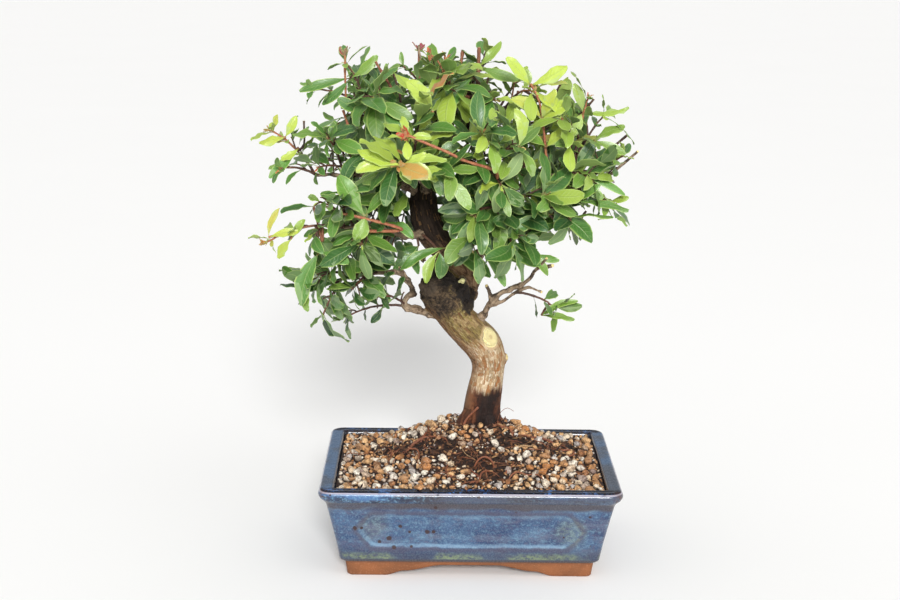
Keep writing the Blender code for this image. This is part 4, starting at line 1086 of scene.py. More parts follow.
def wood_routes():
    """Every limb as (name, fine route, sides, how rough its bark is)."""
    routes = [("trunk", finer(metres(TRUNK_ROUTE), TRUNK_SPACING), 30, 0.0),
              ("leader", finer(metres(LEADER_ROUTE), TRUNK_SPACING), 26, 1.0)]
    for name, (first, last, points) in BRANCHES.items():
        steps = len(points) - 1
        radii = [(first + (last - first) * i / steps) * SLIMMER for i in range(steps + 1)]
        radii[0] = first * 1.2
        routes.append((name, gnarled(finer(metres(points, radii), BRANCH_SPACING), name), 14, 0.55))
    for number, (start, end, radius) in enumerate(PRUNED_TWIGS):
        middle = (Vector(start) + Vector(end)) / 2 + Vector((0.6, -0.4, 0.5))
        route = finer(metres([start, middle, end], [radius * 1.2, radius, radius * 0.95]), BRANCH_SPACING)
        routes.append((f"pruned_{number}", route, 10, 0.7))
    for start, middle, end, radius in ROOT_FLARES:
        route = finer(metres([start, middle, end], [radius, radius * 0.8, radius * 0.5]), BRANCH_SPACING)
        routes.append(("root", route, 14, 0.0))
    for cut, flare in ((WOUND, 1.0), (PRUNED_KNOB, 0.85)):
        ends = [cut["inside"], cut["face"]]
        radii = [cut["radius"] * 1.15, cut["radius"] * flare]
        routes.append(("cut", finer(metres(ends, radii), BRANCH_SPACING), 24, 0.2))
    return routes


def trunk_outline(angle, travelled):
    """Shallow flutes that turn about the trunk as it rises."""
    return 1 + 0.035 * math.cos(3 * angle + 22 * travelled) + 0.02 * math.cos(5 * angle - 34 * travelled + 1)


def leader_outline(angle, travelled):
    """Deeper flutes for the old leader."""
    return 1 + 0.09 * math.cos(3 * angle + 45 * travelled) + 0.03 * math.cos(7 * angle + 60 * travelled)


def nearest_limb(points, routes):
    """What the closest place on a limb gives each point: grain vector, roughness and radius."""
    centres, sides, ups, radii, travels, kinds = [], [], [], [], [], []
    for order, (_, route, _, rough) in enumerate(routes):
        places = [point.to_3d() for point in route]
        travelled = order * 0.37
        for i, (ahead, side, up) in enumerate(frames_along(places)):
            travelled += (places[i] - places[i - 1]).length if i else 0
            centres.append(places[i])
            sides.append(side)
            ups.append(up)
            radii.append(route[i].w)
            travels.append(travelled)
            kinds.append(rough)
    centres, sides, ups = (np.array([tuple(v) for v in each]) for each in (centres, sides, ups))
    radii, travels, kinds = np.array(radii), np.array(travels), np.array(kinds)
    grain, rough, reach = np.zeros((len(points), 3)), np.zeros(len(points)), np.zeros(len(points))
    for start in range(0, len(points), 4000):
        some = points[start:start + 4000]
        away = np.linalg.norm(some[:, None, :] - centres[None], axis=2) / radii
        best = away.argmin(1)
        offset = some - centres[best]
        grain[start:start + 4000, 0] = (offset * sides[best]).sum(1)
        grain[start:start + 4000, 1] = (offset * ups[best]).sum(1)
        grain[start:start + 4000, 2] = travels[best]
        rough[start:start + 4000] = kinds[best]
        reach[start:start + 4000] = radii[best]
    return grain, rough, reach


def carve_stump(point):
    """How far a point near the chopped end moves: a rolled edge round a sunken, splintered middle."""
    offset = point - STUMP_FACE
    axis = STUMP_AXIS.normalized()
    height = offset.dot(axis)
    across = (offset - axis * height).length
    if height < -9 or across > 17:
        return Vector((0, 0, 0))
    near_face = smoothstep(height, -9, -2) * (1 - smoothstep(across, 14, 17))
    ragged = noise.noise(point * 0.16) * 1.8 + noise.noise(point * 0.33) * 2.4
    ragged += noise.noise(point * 0.9) * 1.4 - 0.8
    return axis * ragged * near_face


ROT_SPOTS = [((-23, 6, 185), 4.2), ((2, 14, 166), 3.6), ((-15, 6, 177), 4.6), ((-9, 7, 172), 5.2),
             ((-4, 8, 168), 5.2), ((-2, 10, 161), 4.4)]


def hollow(point, normal):
    """How far a point sinks where the heart of the old wood has rotted away, with a splintered edge."""
    sink = 0
    for spot, radius in ROT_SPOTS:
        away = (point - Vector(spot)).length + 1.6 * noise.noise(point * 0.35)
        sink = max(sink, 1 - smoothstep(away, radius * 0.45, radius))
    return normal * sink * (2.2 * noise.noise(point * 0.3) + 2.0 * noise.noise(point * 0.75) - 2.2)


# The way that the trunk's side with painted shade faces
UNDERSIDE = Vector((-0.80, -0.15, -0.58))


def make_wood(settings):
    """One skin round all the limbs, then bark relief that follows each limb's grain."""
    routes = wood_routes()
    bm = new_shape()
    outlines = {"trunk": trunk_outline, "leader": leader_outline}
    for name, route, sides, _ in routes:
        gather(bm, sweep(route, sides, outline=outlines.get(name)))
    for middle, radius in BURRS:
        bmesh.ops.create_icosphere(bm, subdivisions=3, radius=radius * MM,
                                   matrix=Matrix.Translation(Vector(middle) * MM))
    bm = with_modifier(bm, "REMESH", mode="VOXEL", voxel_size=settings.grid, adaptivity=0.0)
    for _ in range(3):
        bmesh.ops.smooth_vert(bm, verts=bm.verts, factor=0.5, use_axis_x=True, use_axis_y=True,
                              use_axis_z=True)
    bm.normal_update()
    points = np.array([tuple(vert.co) for vert in bm.verts])
    grain, rough, reach = nearest_limb(points, routes)
    layer = bm.verts.layers.float_vector.new("grain")
    bark = bm.verts.layers.float_vector.new("bark")
    moves = []
    for vert, along, kind, radius in zip(bm.verts, grain, rough, reach):
        fibre = Vector((along[0], along[1], along[2] * 0.28)) / MM
        plates = Vector((along[0], along[1], along[2] * 0.5)) / MM
        ridge = noise.noise(fibre * 0.22) + 0.5 * noise.noise(fibre * 0.55)
        lump = noise.noise(vert.co / MM * 0.07)
        crack = abs(noise.noise(plates * 0.20)) + 0.5 * abs(noise.noise(plates * 0.5))
        size = min(1, radius / (9 * MM))
        height = (0.55 + kind * 0.9) * ridge * size + 0.9 * lump * size - 1.6 * kind * crack * size
        height += 0.25 * (1 - size) * noise.noise(vert.co / MM * 0.8)
        place = vert.co / MM
        moves.append(vert.normal * height * settings.relief
                     + (carve_stump(place) + hollow(place, vert.normal)) * MM)
        vert[layer] = Vector(along)
        # The third number of the bark attribute says how far a point faces the side with painted shade.
        vert[bark] = (kind, radius, vert.normal.dot(UNDERSIDE))
    for vert, move in zip(bm.verts, moves):
        vert.co += move
    smooth_faces(bm, 70)
    return bm


def bark_finish(settings):
    """Tan bark low on the trunk, wet at the soil and mossy on the bend, dark and broken above, with painted
    shade on the side that faces down and to the left.
    """
    f = Finish("pomegranate_bark", 0.8, Specular_IOR_Level=0.3)
    grain = f.attribute("grain")[0]
    kind, _, under = f.attribute("bark")[1]
    along = f.scaled(grain, (1, 1, 0.22))
    fibres, blotch = f.noise(620, 4, 0.65, along), f.noise(90, 3, 0.6)
    dashes = f.noise(430, 2, 0.5, f.scaled(grain, (1, 1, 0.32)))
    patches, fine = f.noise(230, 3, 0.6, f.scaled(grain, (1, 1, 0.4))), f.noise(1900, 3, 0.7, along)
    pale = f.mix(f.ramp(fibres, 0.38, 0.60), tuple(c * 0.60 for c in settings.tan_bark), settings.tan_bark)
    pale = f.lay(pale, (0.67, 0.54, 0.37), f.ramp(patches, 0.50, 0.64), 0.6)
    speck = f.noise(900, 2, 0.6, f.scaled(grain, (1, 1, 0.5)))
    pale = f.lay(pale, (0.82, 0.72, 0.56), f.ramp(speck, 0.54, 0.64), 0.6)
    pale = f.lay(pale, (0.34, 0.165, 0.070), f.ramp(speck, 0.47, 0.37), 0.75)
    pale = f.lay(pale, settings.fissure, f.ramp(dashes, 0.55, 0.62), 0.9)
    pale = f.lay(pale, (0.33, 0.20, 0.10), f.ramp(blotch, 0.5, 0.7), 0.35)
    grey = f.mix(f.ramp(fibres, 0.38, 0.62), tuple(c * 0.5 for c in settings.grey_bark), settings.grey_bark)
    grey = f.lay(grey, (0.08, 0.04, 0.02), f.ramp(dashes, 0.56, 0.66), 0.7)
    grey = f.lay(grey, (0.46, 0.36, 0.25), f.ramp(patches, 0.54, 0.66), 0.5)
    grey = f.lay(grey, (0.040, 0.026, 0.020), f.ramp(f.noise(150, 4, 0.65), 0.53, 0.62), 0.8)
    dark = f.mix(f.ramp(fibres, 0.42, 0.62), (0.020, 0.012, 0.008), settings.rough_bark)
    dark = f.lay(dark, (0.27, 0.145, 0.062), f.ramp(dashes, 0.56, 0.64), 0.55)
    z = f.axes()[2]
    rusty = f.mix(f.ramp(fibres, 0.36, 0.62), (0.10, 0.052, 0.027), (0.36, 0.22, 0.12))
    dark = f.lay(dark, rusty, f.ramp(f.maths("ADD", z, f.sway(blotch, 0.05)), 0.200, 0.184))
    base = f.mix(f.ramp(kind, 0.15, 0.5), pale, grey)
    base = f.lay(base, dark, f.ramp(kind, 0.72, 0.95))
    ragged = f.sway(f.noise(150, 4, 0.65, along), 0.022)
    height = f.maths("ADD", z, f.sway(f.noise(75, 3), 0.05))
    bend = f.times(f.ramp(height, 0.126, 0.140), f.ramp(kind, 0.4, 0.1))
    tufts = f.noise(560, 4, 0.7, f.scaled(grain, (1, 1, 0.45)))
    mossy = f.mix(f.ramp(tufts, 0.38, 0.60), (0.105, 0.068, 0.028), settings.moss)
    mossy = f.lay(mossy, (0.29, 0.185, 0.078), f.ramp(patches, 0.46, 0.58), 0.8)
    mossy = f.lay(mossy, (0.17, 0.08, 0.035), f.ramp(dashes, 0.56, 0.64), 0.6)
    mossy = f.lay(mossy, (0.075, 0.045, 0.020), f.ramp(speck, 0.46, 0.38), 0.7)
    mossy = f.lay(mossy, (0.40, 0.32, 0.14), f.ramp(speck, 0.57, 0.65), 0.5)
    base = f.lay(base, mossy, bend, 0.9)
    # Painted shade: reddish-brown darkening on the trunk's side that faces down and to the left.
    painted_side_shade = f.ramp(f.maths("ADD", under, f.sway(f.noise(160, 3), 0.8)), 0.30, 0.95)
    base = f.lay(base, f.mix(f.ramp(tufts, 0.40, 0.60), (0.085, 0.038, 0.018), (0.25, 0.125, 0.062)),
                 painted_side_shade, f.ramp(kind, 0.5, 0.2), 0.8)
    stump = f.near((-27, 5, 174), 15, 9, f.sway(f.noise(210, 3), 0.014))
    stump = f.maths("MAXIMUM", stump, f.near((-18, 2, 164), 11, 8, f.sway(fibres, 0.02)))
    dead = f.mix(f.ramp(f.noise(340, 4, 0.7), 0.40, 0.66), (0.020, 0.014, 0.010), (0.110, 0.074, 0.043))
    smooth = f.near((-29, -4, 175), 7, 3, f.sway(f.noise(260, 2), 0.004))
    dead = f.lay(dead, (0.062, 0.045, 0.031), smooth, 0.75)
    base = f.lay(base, dead, stump)
    for spot, size in ROT_SPOTS:
        hole = f.near(spot, size + 2.5, 4, f.sway(f.noise(260, 3), 0.012))
        base = f.lay(base, settings.rot, hole, 0.94)
    rust = f.ramp(f.maths("ADD", z, ragged), 0.106, 0.099)
    wet = f.ramp(f.maths("ADD", z, f.sway(f.noise(60, 3), 0.020)), 0.105, 0.095)
    damp = f.mix(f.ramp(patches, 0.38, 0.62), (0.044, 0.014, 0.007), (0.160, 0.054, 0.022))
    damp = f.lay(damp, (0.24, 0.13, 0.065), f.ramp(f.axes()[0], 0.021, 0.014), f.ramp(z, 0.084, 0.094), 0.6)
    x = f.maths("ADD", f.axes()[0], f.sway(f.noise(110, 3), 0.016))
    heart = f.times(wet, f.ramp(x, 0.0185, 0.0235), f.ramp(x, 0.0375, 0.032))
    damp = f.lay(damp, settings.wet_bark, heart, 0.94)
    base = f.lay(base, damp, rust)
    base, rings = cut_wood(f, base, settings)
    rough = f.maths("SUBTRACT", f.ramp(fine, 0.3, 0.7, 0.74, 0.92), f.times(rust, 0.12))
    relief = f.maths("ADD", f.maths("ADD", f.times(fibres, 1.1), f.times(fine, 0.5)), f.times(rings, 0.3))
    relief = f.maths("SUBTRACT", relief, f.times(f.ramp(dashes, 0.55, 0.66), 0.8))
    return f.wear(base, rough, f.bump(relief, 0.9, 0.9))


FRESH_STUB = ((-6, 7, 176.5), 2.5)
STUB_CUTS = [((24.6, 20, 123), 1.9), ((-33, 8, 190), 1.5), ((52, -6, 190), 1.9),
             ((46, 5, 170), 1.7), ((9.5, 9, 174), 1.5), ((47, -12, 196), 1.2), ((-47, -3, 188), 1.2),
             ((36, -8, 252), 1.2), ((103, -4, 263), 1.1), ((-18, 16, 318), 1.1), ((3, 25, 321), 1.1)]


def cut_wood(f, base, settings):
    """Paints the pruning cuts: the large pale oval with its rings and callus, and the small cut ends."""
    face = WOUND["face"]
    axis = (Vector(face) - Vector(WOUND["inside"])).normalized()
    ripple = f.sway(f.noise(350, 2), 0.0016)
    at = Vector(face) * MM + MIDDLE
    offset = node(f.tree, "VectorMath", {0: f.place, 1: at}, operation="SUBTRACT").outputs[0]
    depth = node(f.tree, "VectorMath", {0: offset, 1: axis}, operation="DOT_PRODUCT").outputs["Value"]
    oval = f.scaled(offset, (0.86, 1, 0.76))
    far = node(f.tree, "VectorMath", {0: oval}, operation="LENGTH").outputs["Value"]
    far = f.maths("ADD", far, ripple)
    front = f.ramp(depth, -0.0042, -0.0025)
    disc = f.times(f.ramp(far, 0.0054, 0.0050, 0, 1), front)
    collar = f.times(f.ramp(far, 0.0070, 0.0056, 0, 1), f.ramp(depth, -0.0055, -0.003))
    rings = f.maths("SINE", f.times(far, 9000))
    wood = f.mix(f.ramp(rings, -1, 1, 0.2, 0.7), settings.cut_wood, (1.0, 0.93, 0.62))
    wood = f.lay(wood, (0.60, 0.38, 0.16), f.ramp(far, 0.0016, 0.0004), 0.5)
    wood = f.lay(wood, (0.80, 0.58, 0.24), f.ramp(f.noise(600, 3), 0.54, 0.68), 0.3)
    base = f.lay(base, (0.62, 0.46, 0.26), collar, 0.6)
    base = f.lay(base, wood, disc)
    for spot, radius in STUB_CUTS:
        base = f.lay(base, (0.88, 0.70, 0.30), f.near(spot, radius, 0.5, f.times(ripple, 0.5)))
    base = f.lay(base, (1.0, 0.93, 0.44), f.near(*FRESH_STUB, 0.5, f.times(ripple, 0.5)))
    return base, f.times(rings, disc)


# ------------------------------------------------------------------------------------------------
# Shoots, as the CAD source draws them: tip and leaf length in millimetres

SHOOTS = {
    "left_tip": ((-126, -38, 209), 13), "left_tip_over": ((-95, -30, 233), 18),
    "left_mid_front": ((-79, -42, 241), 29), "left_mid_low": ((-69, -40, 208), 26),
    "low_left_a": ((-106, -30, 178), 28), "low_left_b": ((-94, -20, 158), 26),
    "low_left_c": ((-75, -26, 177), 25), "low_left_d": ((-59, -12, 170), 22),
    "low_left_e": ((-86, -20, 194), 24), "low_left_f": ((-81, 6, 152), 22),
    "left_up_tip": ((-125, -18, 275), 15), "left_up_under": ((-119, -22, 252), 20),
    "left_up_in": ((-96, -22, 253), 22), "left_up_mid": ((-89, -32, 272), 22),
    "left_top_tip": ((-80, -4, 316), 19), "left_top_out": ((-100, -6, 299), 20),
    "left_top_front": ((-60, -34, 296), 27), "top_left_tip": ((-45, 8, 313), 19),
    "top_mid_tip": ((-25, 12, 312), 20), "top_mid_front": ((-12, -18, 300), 28),
    "top_right_tip": ((8, 24, 315), 22), "top_right_front": ((13, -8, 294), 24),
    "right_top_tip": ((29, 24, 304), 22), "front_bright": ((-31, -44, 297), 27),
    "bright_shoot": ((36, -17, 300), 26), "bright_side": ((53, -22, 285), 24),
    "right_up_tip": ((70, -12, 297), 19), "right_out": ((81, -10, 286), 23),
    "right_mid_tip": ((94, -4, 260), 19), "right_mid_under": ((86, -8, 230), 22),
    "right_mid_low": ((74, -22, 247), 24), "right_mid_front": ((60, -30, 222), 28),
    "right_mid_in": ((43, -38, 239), 27), "centre_a": ((0, -42, 228), 27), "centre_b": ((16, -50, 247), 25),
    "centre_c": ((27, -46, 269), 23), "centre_d": ((4, -54, 279), 23), "centre_e": ((-16, -58, 257), 22),
    "red_tip": ((-41, -62, 276), 13), "rosette": ((-46, -66, 260), 27),
    "centre_low_a": ((-1, -36, 205), 26), "centre_low_b": ((24, -32, 207), 28),
    "low_right_hang": ((54, 0, 161), 17),
}
YOUNG = ("left_tip", "left_up_tip", "front_bright", "bright_shoot", "bright_side", "right_up_tip",
         "red_tip", "rosette")
CANOPY_CENTRE, CANOPY_SIZE = (-10, 12, 250), (84, 74, 64)
CROWN_MIDDLE = Vector(CANOPY_CENTRE) * MM
FILL_POINTS, FILL_LOWEST, FILL_APART, FILL_FRONT = 46, -0.62, 30, 4
FILL_LEAF = (20, 27)
TWIG_SIDES, TWIG_REACH, TWIG_RADIUS, TWIG_TIP_RADIUS, TWIG_RISE = 4, 28 * MM, 0.9 * MM, 0.6 * MM, 0.1
CAD_LEAF_THICKNESS, LEAF_WIDTH_SHARE, LONG_LEAF = 0.6 * MM, (0.33, 0.44), 28 * MM
LONG_LEAF_NODES, SHORT_LEAF_NODES, NODE_SPAN, TRIES = (0.40, 0.68, 0.94), (0.30, 0.62, 0.94), 1.3 * MM, 26
BOW_POINTS, MATCH = 61, 0.03 * MM


def curved(start, end, rise, number):
    """Points on a bow from start to end whose middle is raised."""
    middle = (start + end) / 2 + Vector((0, 0, rise))
    control = middle * 2 - (start + end) / 2
    ways = [i / (number - 1) for i in range(number)]
    return [start * (1 - t) ** 2 + control * 2 * t * (1 - t) + end * t * t for t in ways]


class Leaf:
    """A blade that leaves its twig, arches over and may turn about its rib."""

    def __init__(self, base, ahead, sky, length, width, bend, twist):
        self.base, self.length, self.width = base, length, width
        self.bend, self.twist = bend, twist
        self.ahead = ahead.normalized()
        self.up = (sky - self.ahead * sky.dot(self.ahead)).normalized()

    def frame(self, t):
        """At a share of the length: the rib's point and direction, the side and the upper face's normal."""
        angle = self.bend * t
        reach = self.length * (math.sin(angle) / self.bend)
        sink = self.length * ((1 - math.cos(angle)) / self.bend)
        point = self.base + self.ahead * reach - self.up * sink
        ahead = self.ahead * math.cos(angle) - self.up * math.sin(angle)
        normal = self.ahead * math.sin(angle) + self.up * math.cos(angle)
        normal = Matrix.Rotation(self.twist * t, 3, ahead) @ normal
        return point, ahead, normal.cross(ahead), normal


class Shoot:
    """A leafy shoot of the CAD model: the bow that it grows along, its route and the leaves at its nodes."""

    def __init__(self, name, bow, skipped, leaf_length):
        self.name, self.bow, self.leaf_length, self.young = name, bow, leaf_length, name in YOUNG
        self.route, self.node_rows = self.with_nodes(bow[skipped:])
        steps = len(self.route) - 1
        self.radii = [TWIG_RADIUS + (TWIG_TIP_RADIUS - TWIG_RADIUS) * i / steps for i in range(steps + 1)]
        self.leaves = []

    def with_nodes(self, bow):
        def at(way):
            place = min(max(way, 0), 1) * (len(bow) - 1)
            low = min(int(place), len(bow) - 2)
            return bow[low].lerp(bow[low + 1], place - low)

        half = NODE_SPAN / 2 / sum((b - a).length for a, b in zip(bow, bow[1:]))
        points, rows = [at(0)], []
        for way in LONG_LEAF_NODES if self.leaf_length > LONG_LEAF else SHORT_LEAF_NODES:
            rows.append(len(points))
            points += [at(way - half), at(way + half)]
        return points + [at(1)], rows


def branch_sites():
    """Points along every branch, each with the branch's direction, from which a shoot may grow."""
    routes = [metres(points) for _, _, points in BRANCHES.values()]
    routes.append(metres([point[:3] for point in LEADER_ROUTE[6:]]))
    sites = []
    for points in routes:
        for a, b in zip(points[1:], points[2:]):
            sites += [(a.lerp(b, way), (b - a).normalized()) for way in (0.0, 0.33, 0.67)]
        sites.append((points[-1], (points[-1] - points[-2]).normalized()))
    return sites


def best_sites(sites, tip):
    """The places that the CAD source would grow a shoot with this tip from."""
    def cost(site):
        way = tip - site[0]
        return abs(way.length - TWIG_REACH) + 0.5 * way.length * (1 - site[1].dot(way.normalized()))

    return [site[0] for site in sorted(sites, key=cost)[:5]]


def fill_targets(taken):
    """Points spread evenly over the back of the canopy, away from the tips already taken."""
    golden = math.pi * (3 - math.sqrt(5))
    targets = []
    for i in range(FILL_POINTS):
        height = 1 - (1 - FILL_LOWEST) * (i + 0.5) / FILL_POINTS
        ring = math.sqrt(max(0, 1 - height * height))
        direction = (ring * math.cos(golden * i), ring * math.sin(golden * i), height)
        point = Vector([c + s * d for c, s, d in zip(CANOPY_CENTRE, CANOPY_SIZE, direction)])
        if point.y > FILL_FRONT and all((point * MM - other).length > FILL_APART * MM for other in taken):
            targets.append(point * MM)
    return targets


def leaf_at(shoot, row, face, attempt):
    """One way to set a leaf on a face of the twig at a node, drawn as the CAD source draws it."""
    rng = random.Random(f"{SEED} {shoot.name} {row} {face} {attempt}")
    base = (shoot.route[row] + shoot.route[row + 1]) / 2
    ahead, side, up = frames_along(shoot.route)[row]
    angle = 2 * math.pi * (face + 1) / TWIG_SIDES
    outward = side * math.cos(angle) + up * math.sin(angle)
    lean = rng.uniform(0.7, 1.25)
    sway = Vector([rng.uniform(-0.3, 0.3), rng.uniform(-0.3, 0.3), rng.uniform(-0.15, 0.4)])
    direction = outward * math.sin(lean) + ahead * math.cos(lean) + sway
    away = (base - CROWN_MIDDLE).normalized()
    sky = Vector((0, 0, 0.8)) + away * 0.7 + three(rng.uniform, -0.3, 0.3)
    length = shoot.leaf_length * rng.uniform(0.8, 1.15) * (1 - 0.02 * attempt)
    width = length * rng.uniform(*LEAF_WIDTH_SHARE)
    return Leaf(base + outward * shoot.radii[row] * 0.7, direction, sky, length, width,
                rng.uniform(0.25, 1.1), rng.uniform(-0.7, 0.7))


class Corners:
    """The corners of a CAD node, laid out from the pot's middle."""

    def __init__(self, name):
        self.tree = tree_of([vert.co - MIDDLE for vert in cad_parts[name].data.vertices])

    def has(self, point):
        return self.tree.find(point)[2] < MATCH

    def ring_error(self, shoot):
        """How far the first ring of the twig is from the node's corners."""
        ahead, side, up = frames_along(shoot.route)[0]
        corners = []
        for k in range(TWIG_SIDES):
            angle = 2 * math.pi * (k + 0.5) / TWIG_SIDES
            corners.append(shoot.route[0] + (side * math.cos(angle) + up * math.sin(angle)) * shoot.radii[0])
        return max(self.tree.find(corner)[2] for corner in corners)


def read_shoot(name, tip, leaf_length, sites):
    """Finds where the CAD node's twig starts and which of the drawn leaves it carries."""
    corners = Corners("shoot_" + name)
    best, least = None, MATCH
    for start in best_sites(sites, tip):
        bow = curved(start, tip, TWIG_RISE * (tip - start).length, BOW_POINTS)
        for skipped in range(1, 40):
            if abs(corners.tree.find(bow[skipped])[2] - TWIG_RADIUS) > MATCH:
                continue
            shoot = Shoot(name, bow, skipped, leaf_length)
            error = corners.ring_error(shoot)
            if error < least:
                best, least = shoot, error
    if best is None:
        raise ValueError(f"the twig of shoot_{name} wasn't found in its CAD node")
    for row in best.node_rows:
        for face in range(TWIG_SIDES):
            for attempt in range(TRIES):
                leaf = leaf_at(best, row, face, attempt)
                point, _, _, normal = leaf.frame(1)
                half = normal * CAD_LEAF_THICKNESS / 2
                if corners.has(point + half) and corners.has(point - half):
                    best.leaves.append((row, leaf))
                    break
    return best


def read_shoots():
    """Every shoot of the CAD model."""
    sites = branch_sites()
    shoots = [read_shoot(name, Vector(tip) * MM, leaf_length * MM, sites)
              for name, (tip, leaf_length) in SHOOTS.items()]
    for number, target in enumerate(fill_targets([shoot.route[-1] for shoot in shoots])):
        name = f"back_{number:02d}"
        if "shoot_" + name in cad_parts:
            leaf_length = random.Random(f"{SEED} {name}").uniform(*FILL_LEAF) * MM
            shoots.append(read_shoot(name, target, leaf_length, sites))
    return shoots


# ------------------------------------------------------------------------------------------------
# Foliage

BLADE_ROWS = (0, 0.07, 0.16, 0.30, 0.46, 0.62, 0.77, 0.89, 0.965, 1)
SMALL_BLADE_ROWS = (0, 0.08, 0.19, 0.35, 0.53, 0.71, 0.86, 0.955, 1)
PETIOLE = 0.07
# The last of the three materials of a foliage piece
TWIG_FINISH = 2


def blade_width(t, fullness):
    """Share of the full width at a share of the length: a short stalk, a wedge, then a full round tip."""
    if t < PETIOLE:
        return 0.09
    s = min(0.985, (t - PETIOLE) / (1 - PETIOLE))
    return max(0.09, math.sin(math.pi * s ** fullness) ** 0.55 * (0.50 + 0.50 * smoothstep(s, 0, 0.42)))


BLADE_GAP = 4.9 * MM
# How large the leaves stay that reach into an opening of the crown
STUNTED = 0.62
# Openings in the crown's outline from the front: x, z, and half of the width and height, in millimetres
OPENINGS = [(-113, 240, 21, 12), (-97, 286, 13, 9), (23, 300, 14, 9), (100, 238, 11, 19), (-61, 145, 17, 10),
            (-112, 138, 9, 12), (56, 195, 17, 8), (-49, 325, 10, 6), (-134, 251, 9, 11), (84, 207, 15, 14),
            (-127, 294, 14, 10), (-122, 229, 15, 6), (-81, 131, 40, 9), (80, 302, 12, 9), (-90, 305, 13, 22),
            (82, 277, 16, 9), (-94, 238, 15, 10), (99, 294, 9, 13), (-108, 302, 12, 10), (18, 317, 14, 8),
            (112, 252, 8, 20), (38, 308, 14, 7), (-118, 262, 9, 9), (-122, 170, 10, 13), (51, 200, 12, 6),
            (71, 218, 13, 7), (91, 238, 13, 8), (-63, 157, 15, 8), (-121, 194, 12, 9), (-104, 156, 13, 8),
            (-108, 219, 12, 5), (-91, 250, 16, 5), (-86, 261, 11, 4), (98, 262, 7, 8), (20, 292, 9, 6),
            (38, 316, 6, 8), (-50, 318, 16, 5)]
# Windows in the leaves in front of the leader, given in the same way
WINDOWS = [(-38, 238, 8, 9), (-33, 228, 9, 9), (-27, 218, 9, 9), (-27, 208, 12, 7), (-22, 199, 10, 7)]
# The stump and the lowest right branch are bare, so no small leaf hangs there
OPEN_BELOW, OPEN_LEFT, OPEN_RIGHT = 196 * MM, -46 * MM, 84 * MM


def in_opening(point):
    """Whether a point lies in one of the openings of the crown, as they are seen from the front."""
    eye = Vector(CAMERA_PLACE)
    seen = eye + (point - eye) * (eye.y / (eye.y - point.y))
    gaps = OPENINGS + (WINDOWS if point.y < 14 else [])
    return any(((seen.x - x) / half_x) ** 2 + ((seen.z - z) / half_z) ** 2 < 1
               for x, z, half_x, half_z in gaps)


class Room:
    """Knows where the wood is and where blades have been set, so that later blades keep clear of both."""

    def __init__(self, routes):
        points = [point for _, route, _, _ in routes for point in route]
        self.radii = [point.w for point in points]
        self.widest = max(self.radii)
        self.wood = tree_of([point.to_3d() for point in points])
        self.low, self.high = Vector(BOX_LOW) - MIDDLE, Vector(BOX_HIGH) - MIDDLE
        self.cells = {}

    def samples(self, leaf):
        return [leaf.frame(t)[0] for t in (0.35, 0.62, 0.92)]

    def take(self, leaf):
        for point in self.samples(leaf):
            self.cells.setdefault(self.cell(point), []).append(point)

    def cell(self, point):
        return tuple(int(value // BLADE_GAP) for value in point)

    def near(self, point):
        x, y, z = self.cell(point)
        for i in (-1, 0, 1):
            for j in (-1, 0, 1):
                for k in (-1, 0, 1):
                    yield from self.cells.get((x + i, y + j, z + k), ())

    def fits(self, leaf):
        margin = leaf.width / 2 + MM
        for point in self.samples(leaf):
            if any(p < low + margin or p > high - margin for p, low, high in zip(point, self.low, self.high)):
                return False
            if point.z < OPEN_BELOW and OPEN_LEFT < point.x < OPEN_RIGHT or in_opening(point / MM):
                return False
            if any(distance < self.radii[number] + MM
                   for _, number, distance in self.wood.find_range(point, self.widest + MM)):
                return False
            if any((point - other).length < BLADE_GAP for other in self.near(point)):
                return False
        return True


class Look:
    """How one blade is shaped and tinted."""

    def __init__(self, rng, youth, blush=0.0, shade=0.5):
        self.fullness = rng.uniform(1.0, 1.45)
        self.fold, self.curl = rng.uniform(0.10, 0.42), rng.uniform(0.0, 0.32)
        self.wave, self.waves = rng.uniform(0.0, 0.045) + 0.03 * youth, rng.uniform(1.6, 3.2)
        self.phase = rng.uniform(0, 2 * math.pi)
        self.side_bend = rng.uniform(-0.10, 0.10)
        self.tint = (youth, blush, shade)
        self.chance = rng.random()


def make_blade(leaf, look, thickness, rows=BLADE_ROWS, strips=4):
    """A thin closed blade with a folded rib and waved margins, on the CAD leaf's own line."""
    bm = new_shape("blade", "tint")
    blade, tint = (bm.verts.layers.float_vector[name] for name in ("blade", "tint"))
    bmesh.ops.create_grid(bm, x_segments=strips, y_segments=len(rows) - 1, size=1)
    for vert in bm.verts:
        across, t = vert.co.x, rows[round((vert.co.y + 1) / 2 * (len(rows) - 1))]
        point, ahead, side, normal = leaf.frame(t)
        half = leaf.width / 2 * blade_width(t, look.fullness)
        out = abs(across)
        lift = half * (out * math.sin(look.fold) - look.curl * out * out)
        flutter = math.sin(2 * math.pi * look.waves * t + look.phase + (1.3 if across > 0 else 0))
        lift += leaf.length * look.wave * flutter * out * out * smoothstep(t, 0.12, 0.4)
        sway = leaf.length * look.side_bend * math.sin(math.pi * t)
        vert.co = point + side * (across * half * math.cos(look.fold) + sway) + normal * lift
        vert[blade] = (across, t, look.chance)
        vert[tint] = look.tint
    upper = set(bm.faces)
    bmesh.ops.solidify(bm, geom=bm.faces[:], thickness=thickness)
    bm.normal_update()
    for face in bm.faces:
        face.smooth = True
        face.material_index = 0 if face in upper else 1
        rim = face not in upper and any(other in upper for edge in face.edges for other in edge.link_faces)
        if rim:
            face.material_index = 0
            for edge in face.edges:
                edge.smooth = False
    return bm


